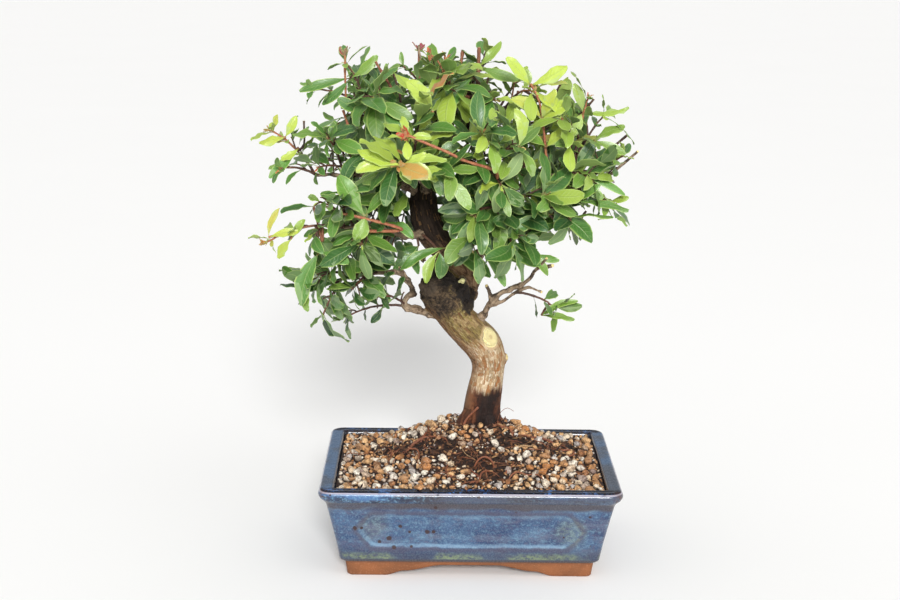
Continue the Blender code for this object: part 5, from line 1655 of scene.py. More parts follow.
def twig_shape(shoot, rng):
    """The shoot's own twig, from inside its branch to its tip, swollen at the nodes."""
    length = sum((b - a).length for a, b in zip(shoot.bow, shoot.bow[1:]))
    points = shoot.bow[::4] + ([] if (len(shoot.bow) - 1) % 4 == 0 else [shoot.bow[-1]])
    route = []
    nodes = [(shoot.route[row] + shoot.route[row + 1]) / 2 for row in shoot.node_rows]
    for i, point in enumerate(points):
        way = i / (len(points) - 1)
        swell = max(math.exp(-((point - spot).length / (1.3 * MM)) ** 2) for spot in nodes)
        waver = three(rng.gauss, 0, 0.12) * MM * (0 < i < len(points) - 1)
        radius = (1.0 - 0.5 * way + 0.18 * swell) * (0.92 if length > 24 * MM else 0.8)
        route.append((point + waver).to_4d())
        route[-1].w = radius * MM
    youth = 1.0 if shoot.young else 0.35
    return sweep(route, 7, ("blade", "tint"), paint=lambda way: {
        "blade": (way, 0, 0.5), "tint": (youth * smoothstep(way, 0.15, 0.8), smoothstep(way, 0.2, 0.9), 0)})


def leaf_tint(base, young, last, rng):
    """Youth, blush and shade of a leaf from its place in the crown."""
    outer = (base - CROWN_MIDDLE).length / (85 * MM)
    lit = smoothstep(base.z / MM, 190, 310)
    if young:
        youth = rng.uniform(0.5, 0.85) + (0.1 if last else -0.08)
        return min(1, youth), rng.random() ** 8 * 0.4, rng.uniform(0.5, 0.9)
    light = rng.random()
    # Painted light: leaves in the sunny left middle of the crown get more of the fresh colour.
    sunny = smoothstep(base.x / MM, -75, -15) * smoothstep(base.z / MM, 208, 242)
    youth = 0.05 + light ** 2.2 * (0.22 + 0.55 * sunny) + (0.2 if last and rng.random() < 0.4 else 0)
    shade = 0.05 + 0.55 * outer * light + 0.35 * lit + rng.uniform(-0.15, 0.25)
    return youth, 0.0, min(0.85, max(0, shade))


def bud_leaves(bm, point, ahead, rng, number, size, tint, thickness):
    """A tuft of tiny unopened leaves at a growing point."""
    helper = three(rng.gauss, 0, 1)
    side = ahead.cross(helper).normalized()
    for k in range(number):
        around = Matrix.Rotation(2 * math.pi * k / number + rng.uniform(-0.4, 0.4), 3, ahead) @ side
        way = ahead * rng.uniform(0.75, 1.2) + around * rng.uniform(0.25, 0.75)
        span = size * rng.uniform(0.7, 1.15)
        leaf = Leaf(point, way, around * -1 + ahead * 0.3, span, span * rng.uniform(0.28, 0.4),
                    rng.uniform(0.1, 0.6), rng.uniform(-0.5, 0.5))
        look = Look(rng, tint[0], tint[1], tint[2])
        gather(bm, make_blade(leaf, look, thickness, SMALL_BLADE_ROWS, 2))


def leaf_finish(settings, back=False):
    """Glossy leaf skin with a pale rib, feathered veins and a light margin; the back is paler and dull."""
    roughness, coat = (0.5, 0.0) if back else (0.38, 0.28)
    f = Finish("leaf_underside" if back else "leaf_face", roughness, Coat_Weight=coat, Coat_Roughness=0.32)
    across, along, chance = f.attribute("blade")[1]
    youth, blush, shade = f.attribute("tint")[1]
    out = f.maths("ABSOLUTE", across)
    mottle = f.noise(260, 3, 0.6)
    tone = f.maths("ADD", shade, f.sway(mottle, 0.3))
    old = f.mix(tone, settings.dark, settings.green)
    base = f.mix(f.ramp(youth, 0.05, 0.95), old, settings.fresh)
    base = f.lay(base, settings.bronze, f.ramp(blush, 0.0, 0.5))
    tip_red = f.mix(f.ramp(shade, 0.8, 1.0), settings.red, (0.30, 0.035, 0.085))
    base = f.lay(base, tip_red, f.ramp(blush, 0.5, 1.0))
    feather = f.maths("SINE", f.times(f.maths("SUBTRACT", along, f.times(out, 0.16)), 62))
    veins = f.times(f.ramp(feather, 0.6, 1.0), f.ramp(out, 0.98, 0.6))
    base = f.lay(base, (0.45, 0.55, 0.22), veins, 0.07)
    rib = f.ramp(out, 0.09, 0.02)
    base = f.lay(base, (0.42, 0.54, 0.18), rib, 0.5 if back else 0.32)
    edge = f.times(f.ramp(out, 0.80, 0.97), f.ramp(along, 0.08, 0.2), f.ramp(shade, 0.0, 0.7, 0.35, 0.8))
    base = f.lay(base, settings.margin, edge)
    base = f.lay(base, (0.30, 0.20, 0.07), f.ramp(along, 0.13, 0.05), 0.7)
    if back:
        base = f.lay(base, (0.36, 0.46, 0.24), 0.38)
    height = f.maths("SUBTRACT", f.times(mottle, 0.4), f.maths("ADD", f.times(veins, 0.7), f.times(rib, 1.6)))
    rough = f.ramp(mottle, 0.3, 0.7, 0.33, 0.48)
    return f.wear(base, None if back else rough, f.bump(height, -0.5 if back else 0.5, 0.35))


def twig_finish(settings):
    """Brown to red twig bark, pale where it is cut."""
    f = Finish("twig_bark", 0.62)
    youth, tip, _ = f.attribute("tint")[1]
    streak = f.noise(700, 3, 0.6)
    old = f.mix(f.ramp(streak, 0.35, 0.65), tuple(c * 0.45 for c in settings.twig), settings.twig)
    young = f.mix(f.ramp(streak, 0.3, 0.7), (0.30, 0.075, 0.045), (0.46, 0.20, 0.085))
    base = f.mix(f.ramp(youth, 0.15, 0.8), old, young)
    base = f.lay(base, (0.50, 0.36, 0.22), f.ramp(f.cells(900), 0.25, 0.15), 0.4)
    way, _, pruned = f.attribute("blade")[1]
    base = f.lay(base, (0.62, 0.45, 0.22), way, f.ramp(pruned, 0.9, 1.0))
    return f.wear(base, None, f.bump(streak, 0.6, 0.3))


# Where a tuft sits in millimetres, its direction, leaves, size in millimetres, youth, blush and purple
GROWING_TIPS = [
    ((-80, -4, 319), (-0.15, 0, 1), 6, 7.5, 0.6, 0.92, 0.95),
    ((-34.7, 12, 321), (0.15, 0, 1), 6, 7.5, 0.4, 0.95, 1),
    ((-27, 10, 320), (-0.4, 0, 1), 4, 5.5, 0.7, 0.85, 0.3),
    ((-28, 10, 316), (0.3, 0, 1), 3, 5.6, 0.5, 0.95, 0.3),
    ((-38, -62, 277.3), (-1, -0.3, 0.35), 8, 9, 0.6, 0.98, 0.2),
    ((-126, -38, 209), (-1, -0.2, 0.05), 4, 7.0, 0.9, 0.55, 0.3),
    ((-125, -18, 275), (-1, 0, 0.4), 3, 5.0, 0.8, 0.6, 0.9),
    ((36, -17, 300), (0, 0, 1), 3, 5.0, 0.9, 0.45, 0.3),
    ((-46, -66, 260), (0, -1, 0.3), 5, 8.0, 0.9, 0.40, 0.3),
    ((-18, 6, 318), (0.1, -0.2, 1), 3, 5.0, 0.8, 0.8, 0.3),
]


def canopy_group(shoot):
    """The part of the crown that a shoot belongs to."""
    return "young" if shoot.young else shoot.name.split("_")[0]


SHOOT_SPRIG_WAYS = (0.25, 0.45, 0.64, 0.82)
BRANCH_SPRIG_EVERY, BRANCH_SPRIG_FROM = 6.0 * MM, 0.28
BARE_BRANCHES = {"right_low": 2, "right_low_fork": 2, "left_low": 0.72}


def sprig_leaves(bow, leaf_length, rng, room):
    """Leaves in pairs along a short side twig, kept where there is room for them."""
    found = []
    turn = rng.uniform(0, 2 * math.pi)
    for place in (3, 5, 6):
        base = bow[place]
        ahead = (bow[place] - bow[place - 1]).normalized()
        side = ahead.orthogonal().normalized()
        turn += math.pi / 2
        away = (base - CROWN_MIDDLE).normalized()
        for k in range(2 if place < 6 else 3):
            around = Matrix.Rotation(turn + k * 2 * math.pi / (2 if place < 6 else 3), 3, ahead) @ side
            for attempt in range(4):
                lean = rng.uniform(0.55, 1.2) if place < 6 else rng.uniform(0.25, 0.8)
                sway = Vector([rng.gauss(0, 0.2), rng.gauss(0, 0.2), rng.gauss(0.05, 0.2)])
                sky = Vector((0, 0, 0.8)) + away * 0.7 + three(rng.uniform, -0.3, 0.3)
                span = leaf_length * rng.uniform(0.7, 1.15) * (1 - 0.10 * attempt)
                leaf = Leaf(base, around * math.sin(lean) + ahead * math.cos(lean) + sway, sky, span,
                            span * rng.uniform(0.35, 0.46), rng.uniform(0.15, 0.95), rng.uniform(-0.6, 0.6))
                if room.fits(leaf):
                    room.take(leaf)
                    found.append(leaf)
                    break
    return found


def grow_sprig(bm, base, ahead, size, leaf_length, young, rng, room, thickness):
    """A short leafy side twig."""
    bow = curved(base, base + ahead.normalized() * size, 0.12 * size, 7)
    leaves = sprig_leaves(bow, leaf_length, rng, room)
    if not leaves:
        return
    for leaf in leaves:
        look = Look(rng, *leaf_tint(leaf.base, young, False, rng))
        gather(bm, make_blade(leaf, look, thickness, SMALL_BLADE_ROWS, 2))
    route = [Vector((*point, (0.62 - 0.2 * i / 6) * MM)) for i, point in enumerate(bow)]
    twig = sweep(route, 5, ("blade", "tint"),
                 paint=lambda way: {"tint": ((0.9 if young else 0.3) * way, way, 0)})
    gather(bm, all_smooth(twig, TWIG_FINISH))


def shoot_sprigs(bm, shoot, rng, room, thickness):
    """Side twigs along a shoot."""
    for way in SHOOT_SPRIG_WAYS:
        if shoot.young and way > 0.6:
            continue
        place = int(way * (len(shoot.bow) - 1))
        ahead = (shoot.bow[place + 1] - shoot.bow[place]).normalized()
        away = (shoot.bow[place] - CROWN_MIDDLE).normalized()
        aside = three(rng.gauss, 0, 1).normalized()
        direction = ahead * 0.5 + away * 0.5 + aside * 0.8 + Vector((0, 0, 0.2))
        grow_sprig(bm, shoot.bow[place], direction, rng.uniform(6, 13) * MM,
                   max(shoot.leaf_length, 23 * MM) * rng.uniform(0.80, 1.10), False, rng, room, thickness)


def branch_sprigs(bm, rng, room, thickness):
    """Side twigs along the branches, inside the crown."""
    limbs = {name: metres(points) for name, (_, _, points) in BRANCHES.items()}
    limbs["leader"] = metres([point[:3] for point in LEADER_ROUTE[6:]])
    for name, points in limbs.items():
        route = [point.to_3d() for point in finer([point.to_4d() for point in points], BRANCH_SPRIG_EVERY)]
        for i in range(1, len(route)):
            if i / len(route) < BARE_BRANCHES.get(name, BRANCH_SPRIG_FROM):
                continue
            away = (route[i] - CROWN_MIDDLE).normalized()
            for _ in range(2):
                aside = three(rng.gauss, 0, 1).normalized()
                direction = away * 0.6 + aside + Vector((0, 0, 0.25))
                grow_sprig(bm, route[i], direction, rng.uniform(9, 20) * MM, rng.uniform(20, 29) * MM, False,
                           rng, room, thickness)


# Shoots whose leaves are older than their neighbours', with the share of their youth that they keep
YOUTH_KEPT = {"centre_low_a": 0.2, "centre_low_b": 0.3, "centre_a": 0.35, "centre_e": 0.6,
              "right_up_tip": 0.6, "bright_side": 0.75, "right_mid_in": 0.35, "right_mid_front": 0.5}


def shoot_blades(bm, shoot, rng, thickness):
    """The grown leaves of a shoot, its twig and the small leaves at its growing point."""
    last = shoot.node_rows[-1]
    for row, leaf in shoot.leaves:
        drooping = leaf.frame(1)[0].z < leaf.base.z - 7 * MM and shoot.name == "rosette"
        youth, *tint = leaf_tint(leaf.base, shoot.young and not drooping, row == last, rng)
        look = Look(rng, youth * YOUTH_KEPT.get(shoot.name, 1), *tint)
        gather(bm, make_blade(leaf, look, thickness))
    if rng.random() < 0.75:
        blush = rng.choice((0.0, 0.0, 0.35, 0.6, 0.9))
        ahead = (shoot.bow[-1] - shoot.bow[-3]).normalized()
        bud_leaves(bm, shoot.bow[-1] - ahead * MM, ahead, rng, rng.choice((2, 2, 3)),
                   rng.uniform(3.0, 5.5) * MM, (0.75, blush, 0.7), thickness)
    gather(bm, all_smooth(twig_shape(shoot, rng), TWIG_FINISH))


# Where a node sits, and its leaves as (tip, width, youth, blush); places and widths in millimetres
KEY_SPRAYS = [
    ((-16, 3, 199), [((-45, -5, 186), 7, 0.15, 0), ((-14, -1, 188), 8.5, 0.15, 0),
                     ((12, -4, 182), 11, 0.12, 0)]),
    ((-21, 1, 197), [((-29, -4, 177.5), 7.5, 0.55, 0), ((-20, -2, 180), 9, 0.0, 0)]),
    ((4, -2, 201), [((18, -6, 185), 6, 0.1, 0), ((31, -8, 192), 8, 0.1, 0), ((21, -10, 177), 7, 0.12, 0)]),
    ((-34, 8, 199), [((-50, 2, 184), 7, 0.05, 0), ((-45, 4, 196), 6, 0.1, 0), ((-34, 2, 182), 6, 0.1, 0)]),
    ((39, -6, 197), [((48, -8, 184), 6, 0.3, 0), ((55, -6, 193), 5, 0.2, 0)]),
    ((15, -16, 204), [((42, -24, 193), 11, 0.12, 0), ((-2, -20, 217), 8, 0.1, 0)]),
    ((-6, -22, 224), [((21, -26, 226), 9, 0.08, 0), ((-13, -26, 210), 8, 0.1, 0)]),
    ((49, -24, 226), [((73, -32, 210), 14, 0.1, 0), ((19, -30, 212), 9, 0.1, 0)]),
    ((63, -18, 233), [((96, -22, 228), 5.5, 0.2, 0), ((78, -22, 244), 6, 0.2, 0)]),
    ((67, -14, 248), [((80, -20, 235), 7, 0.3, 0), ((94, -16, 237), 5, 0.15, 0)]),
    ((-66, -40, 226), [((-82, -44, 251), 13, 0.22, 0), ((-72, -44, 212), 10, 0.40, 0),
                       ((-47, -42, 245), 9, 0.22, 0)]),
    ((-54, -20, 219), [((-67, -26, 197), 10, 0.15, 0), ((-37, -24, 210), 7, 0.12, 0)]),
    ((-6, 36, 226), [((-21, 37, 206), 12, 0, 0), ((2, 37, 207), 11, 0, 0), ((-11, 38, 204), 10, 0, 0)]),
    ((-94, -36, 203), [((-105, -40, 170), 12, 0.14, 0), ((-76, -40, 197), 8, 0.1, 0)]),
    ((3, 14, 313), [((17, 18, 328), 6.5, 0.45, 0), ((28, 10, 305), 8, 0.3, 0), ((-12, 8, 300), 12, 0.12, 0)]),
    ((-1, -6, 308), [((-21, -12, 287), 12, 0.1, 0)]),
    ((34, -16, 304), [((19, -18, 321), 8.5, 0.8, 0), ((56, -18, 316), 9, 0.85, 0)]),
    ((41, -18, 284), [((22, -21, 296), 9, 0.9, 0.12), ((49, -21, 302), 8, 0.9, 0.10),
                      ((58, -21, 294), 10, 0.85, 0)]),
    ((44, -20, 267), [((57, -23, 279), 8.5, 0.8, 0), ((28, -24, 275), 7, 0.3, 0)]),
    ((67, -10, 287), [((95, -13, 290), 4.5, 0.55, 0), ((61, -12, 305), 7, 0.6, 0),
                      ((61, -14, 273), 8, 0.55, 0)]),
    ((74, -10, 270), [((93, -13, 279), 7, 0.4, 0), ((94, -13, 262), 6, 0.35, 0)]),
    ((-125, -38, 212), [((-118, -38, 230), 4.5, 0.95, 0.2), ((-106, -38, 216), 5.5, 0.95, 0.1)]),
    ((-111, -36, 211), [((-119, -38, 199), 6.5, 0.7, 0.1), ((-103, -36, 223), 5, 0.5, 0)]),
    ((-116, -18, 271), [((-109, -18, 284), 6, 0.8, 0.05), ((-132, -18, 267), 6, 0.85, 0.1)]),
    ((-108, -18, 264), [((-119, -20, 257), 5.5, 0.85, 0.05), ((-126, -20, 246), 7, 0.12, 0)]),
    ((-43, -68, 261), [((-69, -72, 270), 8, 0.8, 0), ((-70, -72, 258), 9, 0.85, 0.05),
                       ((-26, -71, 254), 9, 0.85, 0.1), ((-17, -68, 264), 6, 0.6, 0),
                       ((-29, -66, 268), 6, 0.8, 0)]),
    ((-25, -46, 290), [((-42, -46, 309), 11, 0.75, 0)]),
    ((-68, -30, 288), [((-41, -36, 282), 12, 0.1, 0), ((-83, -32, 296), 8, 0.12, 0)]),
    ((45, 0, 156), [((68, -2, 166), 5, 0.35, 0), ((56, -4, 164), 4, 0.3, 0), ((66, -4, 154), 5, 0.35, 0)]),
    ((-77, -2, 306), [((-60, -2, 320), 7, 0.35, 0), ((-108, -6, 298), 7, 0.15, 0),
                      ((-94, -6, 290), 6, 0.1, 0)]),
]


def nearest_wood(shoots):
    """A tree of the points that a twig may grow from."""
    wood = [point for shoot in shoots for point in shoot.bow[:52]]
    limbs = [route for name, route, _, _ in wood_routes() if name in BRANCHES or name == "leader"]
    wood += [point.to_3d() for route in limbs for point in route]
    return tree_of(wood)


def leaf_between(base, tip, width, rng):
    """A drooping leaf whose tip ends at a chosen place."""
    way, bend = tip - base, rng.uniform(0.3, 0.8)
    sky = Vector((rng.uniform(-0.25, 0.25), -0.80, 0.55))
    up = (sky - way * (sky.dot(way) / way.length_squared)).normalized()
    ahead = way.normalized() * math.cos(bend / 2) + up * math.sin(bend / 2)
    length = way.length * (bend / 2) / math.sin(bend / 2)
    return Leaf(base, ahead, up, length, width, bend, rng.uniform(-0.35, 0.35))


def key_sprays(shoots, room):
    """The sprays that give the crown its look from the front: each twig's bow, its leaves and tints."""
    rng = random.Random(SEED + 8)
    wood = nearest_wood(shoots)
    sprays = []
    for place, leaves in KEY_SPRAYS:
        spot = Vector(place) * MM
        start = wood.find(spot)[0]
        bow = curved(start, spot, 0.06 * (spot - start).length, 8)
        grown = []
        for tip, width, youth, blush in leaves:
            leaf = leaf_between(spot, Vector(tip) * MM, width * MM, rng)
            room.take(leaf)
            grown.append((leaf, (youth, blush, rng.uniform(0.45, 0.95))))
        sprays.append((bow, grown))
    return sprays


def add_key_spray(bm, spray, thickness):
    """Adds a key spray's blades, and its twig where it has one."""
    bow, leaves = spray
    rng = random.Random(f"{SEED} {tuple(round(v, 4) for v in bow[-1])}")
    for leaf, tint in leaves:
        gather(bm, make_blade(leaf, Look(rng, *tint), thickness))
    if (bow[-1] - bow[0]).length > MM:
        youth = sum(tint[0] for _, tint in leaves) / len(leaves)
        route = [Vector((*point, (0.95 - 0.25 * i / 7) * MM)) for i, point in enumerate(bow)]
        twig = sweep(route, 7, ("blade", "tint"), paint=lambda way: {"tint": (youth, way, 0)})
        gather(bm, all_smooth(twig, TWIG_FINISH))


# Points in millimetres from inside the crown to the end, radius, youth, and whether the end is cut
BARE_TWIGS = [
    ([(-79, 0, 286), (-80, -4, 308), (-80, -4, 320)], 0.75, 0.8, 0),
    ([(-50, -8, 296), (-61, -10, 317)], 0.9, 0.5, 1),
    ([(-46, 0, 290), (-50.6, 0, 311)], 0.8, 0, 1), ([(-34, 8, 296), (-34.7, 12, 322)], 0.9, 0.6, 0),
    ([(-17, 10, 302), (-22, 10, 315), (-27, 10, 320)], 0.6, 0.7, 0),
    ([(-17.8, 6, 296), (-18, 6, 319)], 1.4, 0.75, 1),
    ([(-16, 2, 298), (-15.3, 2, 317)], 0.7, 0.5, 1), ([(-10, 14, 298), (-7.2, 14, 323)], 1.2, 0.5, 1),
    ([(2.3, 12, 294), (2.8, 10, 325)], 1.3, 0.45, 1), ([(5, 8, 292), (9.2, 6, 308)], 0.85, 0, 1),
    ([(-2, 4, 283), (6, 0, 290), (15, 0, 297)], 0.9, 0, 1),
    ([(-75, -18, 270), (-76.5, -20, 276), (-80.4, -20, 288)], 0.85, 0.8, 1),
    ([(-53, -26, 268), (-63.5, -30, 292)], 0.95, 0.4, 1), ([(22, 8, 280), (25, 5, 304)], 0.6, 0.4, 1),
    ([(12, -50, 256), (-6, -60, 263), (-16, -62, 268), (-27, -62, 272.5), (-38.7, -62, 277.5)], 0.95, 1, 0),
    ([(46, -12, 246), (43, -17, 274), (39.6, -17, 294), (34, -17, 305)], 0.85, 0.8, 0),
    ([(46, 2, 292), (53.6, 0, 303.6)], 0.8, 0, 1), ([(62, -4, 280), (74, -6, 295)], 0.8, 0.2, 1),
    ([(58, -6, 254), (63, -8, 275)], 0.7, 0, 1), ([(60, -2, 256), (77, -4, 272)], 0.8, 0, 1),
    ([(78, -2, 256), (96, -4, 273)], 0.95, 0.15, 1), ([(62, -4, 244), (88, -2, 252)], 1.1, 0, 1),
    ([(-105, -13, 266), (-104.8, -14, 280.5)], 0.75, 0, 1), ([(-93, -28, 208), (-98, -30, 230)], 0.8, 0.5, 1),
    ([(-60, 28, 284), (-60, 30, 300)], 0.9, 0.4, 1), ([(-30, 58, 284), (-30, 60, 301)], 0.9, 0, 1),
    ([(28, 55, 276), (30, 58, 294)], 0.9, 0.4, 1), ([(60, 38, 256), (64, 41, 272)], 0.9, 0, 1),
    ([(-80, 28, 250), (-86, 31, 264)], 0.9, 0.2, 1), ([(10, 66, 250), (12, 74, 264)], 0.9, 0, 1),
    ([(64, 22, 208), (74, 24, 220)], 0.9, 0, 1),
    ([(-44, -34, 217), (-66, -40, 224.5), (-81, -42, 228)], 0.95, 0.85, 1),
]


def make_bare_twigs(shoots):
    """Pruned twigs and leafless tops of shoots, each grown from the nearest wood."""
    tree = nearest_wood(shoots)
    bm = new_shape("blade", "tint")
    rng = random.Random(SEED + 6)
    for places, radius, youth, is_cut in BARE_TWIGS:
        points = metres(places)
        start = tree.find(points[0])[0]
        if (start - points[0]).length > MM:
            points.insert(0, start)
        points = [Vector((*point, radius * MM)) for point in points]
        route = finer(points, 2.2 * MM)
        for i, point in enumerate(route):
            point.w *= rng.uniform(0.85, 1.08) * (1.22 if i % 4 == 2 else 1) * (1.1 - 0.25 * i / len(route))
        end = route[-1].copy()
        end.xyz += (route[-1] - route[-2]).xyz.normalized() * 0.08 * MM
        route.append(end)
        gather(bm, sweep(route, 7, ("blade", "tint"),
                         paint=lambda way: {"blade": (is_cut if way > 0.99 else 0, 0, 1),
                                            "tint": (youth, 0, 0)}))
    return all_smooth(bm)


def make_foliage(leaf_settings, trunk_settings):
    """Gathers the shoots by the part of the crown that they grow in, and makes each part one piece."""
    face, back = leaf_finish(leaf_settings), leaf_finish(leaf_settings, back=True)
    bark = twig_finish(trunk_settings)
    finishes, thickness = [face, back, bark], leaf_settings.thickness
    shoots = read_shoots()
    room = Room(wood_routes())
    for shoot in shoots:
        for _, leaf in shoot.leaves:
            if in_opening(leaf.frame(0.8)[0] / MM):
                leaf.length, leaf.width = leaf.length * STUNTED, leaf.width * STUNTED
            room.take(leaf)
    sprays = key_sprays(shoots, room)
    keepers = [min(shoots, key=lambda shoot: (shoot.bow[-1] - bow[-1]).length) for bow, _ in sprays]
    groups = {}
    for shoot in shoots:
        groups.setdefault(canopy_group(shoot), []).append(shoot)
    for group, members in groups.items():
        bm = new_shape("blade", "tint")
        for shoot in members:
            rng = random.Random(f"{SEED} looks {shoot.name}")
            shoot_blades(bm, shoot, rng, thickness)
            shoot_sprigs(bm, shoot, rng, room, thickness)
        for spray, keeper in zip(sprays, keepers):
            if keeper in members:
                add_key_spray(bm, spray, thickness)
        finish_piece("foliage_" + group, bm, finishes,
                     ["shoot_" + shoot.name for shoot in members], turn_faces=False)
    bm = new_shape("blade", "tint")
    branch_sprigs(bm, random.Random(SEED + 7), room, thickness)
    finish_piece("foliage_inner", bm, finishes, turn_faces=False)
    bm = new_shape("blade", "tint")
    rng = random.Random(SEED + 5)
    for point, ahead, number, size, youth, blush, purple in GROWING_TIPS:
        bud_leaves(bm, Vector(point) * MM, Vector(ahead).normalized(), rng, number, size * MM,
                   (youth, blush, purple), thickness)
    finish_piece("growing_tips", bm, [face, back], turn_faces=False)
    finish_piece("pruned_twigs", make_bare_twigs(shoots), [bark], turn_faces=False)


# ------------------------------------------------------------------------------------------------
# Stage

CAMERA_PLACE, CAMERA_PITCH, CAMERA_ROLL, CAMERA_YAW = (-22, -999, 387), 12.5, 0.65, 0.48
FLOOR_REACH, SUN_SPREAD, HORIZON = 40.0, 15.0, 0.95


def make_stage(settings):
    """The floor, the light that surrounds it, two lamps and the camera."""
    bm = bmesh.new()
    bmesh.ops.create_circle(bm, cap_ends=True, segments=96, radius=FLOOR_REACH)
    floor = helper_object("studio_floor", bm)
    f = Finish("pale_floor", 0.9)
    tint = settings.floor
    floor.data.materials.append(f.wear(f.mix(f.noise(3, 2), tint, tuple(c * 0.985 for c in tint))))
    world = bpy.data.worlds.new("pale_surroundings")
    bpy.context.scene.world = world
    world.use_nodes = True
    background = world.node_tree.nodes["Background"]
    way = node(world.node_tree, "TexCoord").outputs["Generated"]
    height = node(world.node_tree, "Math", {0: node(world.node_tree, "SeparateXYZ", {0: way}).outputs[2]},
                  operation="ABSOLUTE").outputs[0]
    glow = node(world.node_tree, "MapRange", {0: height, 1: 0.02, 2: 0.40, 3: HORIZON, 4: settings.sky},
                interpolation_type="SMOOTHSTEP").outputs[0]
    world.node_tree.links.new(glow, background.inputs["Strength"])
    background.inputs["Color"].default_value = (1, 1, 1, 1)
    add_light("soft_key", "SUN", (0.08, -1.0, 0.63), settings.sun, angle=math.radians(SUN_SPREAD))
    add_light("overhead_softbox", "AREA", (0.7, -1.1, 1.9), settings.softbox, shape="RECTANGLE",
              size=1.3, size_y=1.0)
    camera = bpy.data.objects.new("camera", bpy.data.cameras.new("camera"))
    bpy.context.scene.collection.objects.link(camera)
    camera.data.lens, camera.data.sensor_width = settings.lens, 36.0
    camera.data.clip_start, camera.data.clip_end = 0.05, 200
    pitch, roll, yaw = (math.radians(angle) for angle in (CAMERA_PITCH, CAMERA_ROLL, CAMERA_YAW))
    ahead = Vector((math.sin(yaw) * math.cos(pitch), math.cos(yaw) * math.cos(pitch), -math.sin(pitch)))
    right = Vector((math.cos(yaw), -math.sin(yaw), 0))
    up = right.cross(ahead)
    right, up = right * math.cos(roll) + up * math.sin(roll), up * math.cos(roll) - right * math.sin(roll)
    turn = Matrix((right, up, -ahead)).transposed().to_4x4()
    camera.matrix_world = Matrix.Translation(Vector(CAMERA_PLACE) * MM + MIDDLE) @ turn
    bpy.context.scene.camera = camera
    bpy.context.scene.view_settings.view_transform = "Standard"


def add_light(name, kind, place, power, **settings):
    """A light that aims at the middle of the crown."""
    light = bpy.data.lights.new(name, kind)
    light.energy = power
    for key, value in settings.items():
        setattr(light, key, value)
    lamp = bpy.data.objects.new(name, light)
    bpy.context.scene.collection.objects.link(lamp)
    lamp.location = Vector(place)
    lamp.rotation_mode = "QUATERNION"
    lamp.rotation_quaternion = (Vector((0, 0, 0.17)) - lamp.location).to_track_quat("-Z", "Y")


# ------------------------------------------------------------------------------------------------
# Operators


class BONSAI_OT_make_pot(bpy.types.Operator):
    """Builds the slab pot with its lip, panels and feet, and gives it its glaze"""
    bl_idname = "bonsai.make_pot"
    bl_label = "Make the pot"

    def execute(self, context):
        settings = context.scene.bonsai_pot
        finishes = [glaze_finish(settings, "mottled_blue_glaze", 1), clay_finish(settings),
                    glaze_finish(settings, "dark_rim_glaze", 0.2)]
        finish_piece("glazed_pot", make_pot_body(settings), finishes, ["pot"])
        return {"FINISHED"}


class BONSAI_OT_finish_screens(bpy.types.Operator):
    """Gives the two drainage screens their plastic"""
    bl_idname = "bonsai.finish_screens"
    bl_label = "Finish the drainage screens"

    def execute(self, context):
        plastic = screen_finish()
        for name in ("drain_screen_left", "drain_screen_right"):
            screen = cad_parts[name]
            for material_slot in screen.material_slots:
                material_slot.material = plastic
        return {"FINISHED"}


class BONSAI_OT_fill_soil(bpy.types.Operator):
    """Fills the pot with a bed of dark compost heaped to the trunk"""
    bl_idname = "bonsai.fill_soil"
    bl_label = "Fill in the soil"

    def execute(self, context):
        settings = context.scene.bonsai_soil
        finish_piece("soil_bed", make_soil_bed(settings), [compost_finish(settings)], ["soil"])
        return {"FINISHED"}


class BONSAI_OT_strew_grit(bpy.types.Operator):
    """Strews grains of baked clay, pumice, granite and quartz over the soil"""
    bl_idname = "bonsai.strew_grit"
    bl_label = "Strew the grit"

    def execute(self, context):
        settings = context.scene.bonsai_soil
        finishes = {
            "ochre": grain_finish("ochre_grit", settings.ochre, (0.80, 0.50, 0.24), 0.5),
            "cream": grain_finish("cream_grit", settings.cream, (0.94, 0.86, 0.72), 0.85),
            "grey": grain_finish("grey_grit", settings.grey, (0.74, 0.68, 0.62), 0.95),
            "white": grain_finish("white_grit", settings.white, (0.86, 0.78, 0.66), 0.2),
        }
        for kind, shape in make_grit(settings).items():
            finish_piece("grit_" + kind, shape, [finishes[kind]], turn_faces=False)
        return {"FINISHED"}


class BONSAI_OT_lay_compost(bpy.types.Operator):
    """Lays bark chips and fine rootlets where the compost shows"""
    bl_idname = "bonsai.lay_compost"
    bl_label = "Lay bark chips and rootlets"

    def execute(self, context):
        settings = context.scene.bonsai_soil
        finish_piece("bark_chips", make_compost_chips(settings), [chip_finish()],
                     turn_faces=False)
        finish_piece("rootlets", make_rootlets(settings), [rootlet_finish(settings)],
                     turn_faces=False)
        return {"FINISHED"}


class BONSAI_OT_grow_trunk(bpy.types.Operator):
    """Grows the twisted trunk, its leader and branches as one skin of bark"""
    bl_idname = "bonsai.grow_trunk"
    bl_label = "Grow the trunk"

    def execute(self, context):
        settings = context.scene.bonsai_trunk
        finish_piece("trunk_wood", make_wood(settings), [bark_finish(settings)], ["trunk"])
        return {"FINISHED"}


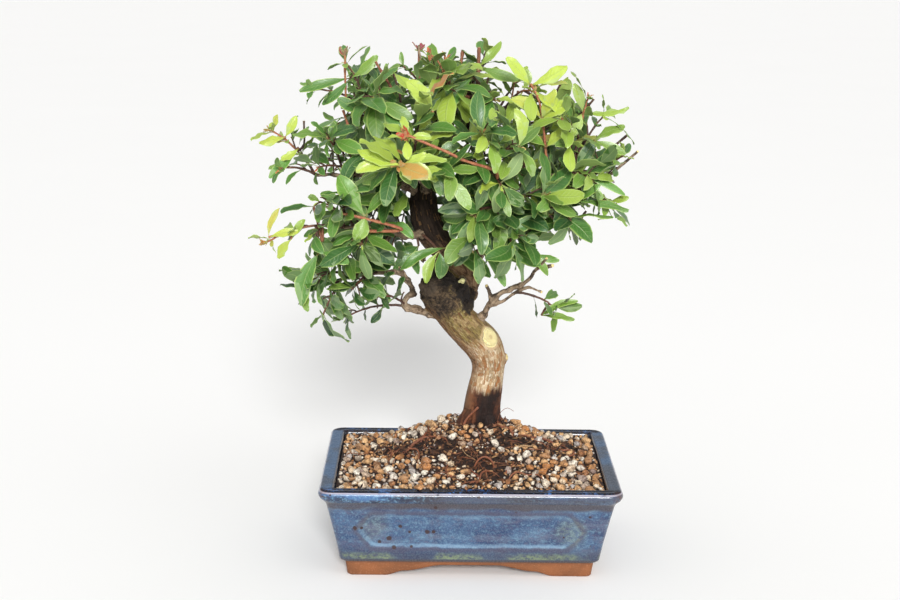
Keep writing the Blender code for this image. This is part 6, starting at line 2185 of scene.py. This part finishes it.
class BONSAI_OT_grow_foliage(bpy.types.Operator):
    """Grows twigs, leaves and buds on every shoot of the crown"""
    bl_idname = "bonsai.grow_foliage"
    bl_label = "Grow the foliage"

    def execute(self, context):
        make_foliage(context.scene.bonsai_leaf, context.scene.bonsai_trunk)
        return {"FINISHED"}


class BONSAI_OT_set_stage(bpy.types.Operator):
    """Sets the pale floor, the soft light and the camera"""
    bl_idname = "bonsai.set_stage"
    bl_label = "Set the stage"

    def execute(self, context):
        make_stage(context.scene.bonsai_stage)
        return {"FINISHED"}


OPERATORS = (BONSAI_OT_set_stage, BONSAI_OT_make_pot, BONSAI_OT_finish_screens, BONSAI_OT_fill_soil,
             BONSAI_OT_strew_grit, BONSAI_OT_lay_compost, BONSAI_OT_grow_trunk, BONSAI_OT_grow_foliage)
SETTINGS = {"bonsai_pot": BonsaiPotSettings, "bonsai_soil": BonsaiSoilSettings,
            "bonsai_trunk": BonsaiTrunkSettings, "bonsai_leaf": BonsaiLeafSettings,
            "bonsai_stage": BonsaiStageSettings}


class BONSAI_PT_workbench(bpy.types.Panel):
    """Lists the steps of the build and their settings"""
    bl_label = "Pomegranate bonsai"
    bl_space_type = "VIEW_3D"
    bl_region_type = "UI"
    bl_category = "Bonsai"

    def draw(self, context):
        for operator in OPERATORS:
            self.layout.operator(operator.bl_idname)
        for name, group in SETTINGS.items():
            box = self.layout.box()
            box.label(text=group.__doc__)
            for key in group.__annotations__:
                box.prop(getattr(context.scene, name), key)


def register():
    for group in SETTINGS.values():
        bpy.utils.register_class(group)
    for name, group in SETTINGS.items():
        setattr(bpy.types.Scene, name, PointerProperty(type=group))
    for operator in OPERATORS:
        bpy.utils.register_class(operator)
    bpy.utils.register_class(BONSAI_PT_workbench)


def unregister():
    bpy.utils.unregister_class(BONSAI_PT_workbench)
    for operator in reversed(OPERATORS):
        bpy.utils.unregister_class(operator)
    for name in SETTINGS:
        delattr(bpy.types.Scene, name)
    for group in reversed(SETTINGS.values()):
        bpy.utils.unregister_class(group)


def main():
    register()
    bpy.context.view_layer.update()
    for operator in OPERATORS:
        group, step = operator.bl_idname.split(".")
        getattr(getattr(bpy.ops, group), step)()


if __name__ == "__main__":
    main()
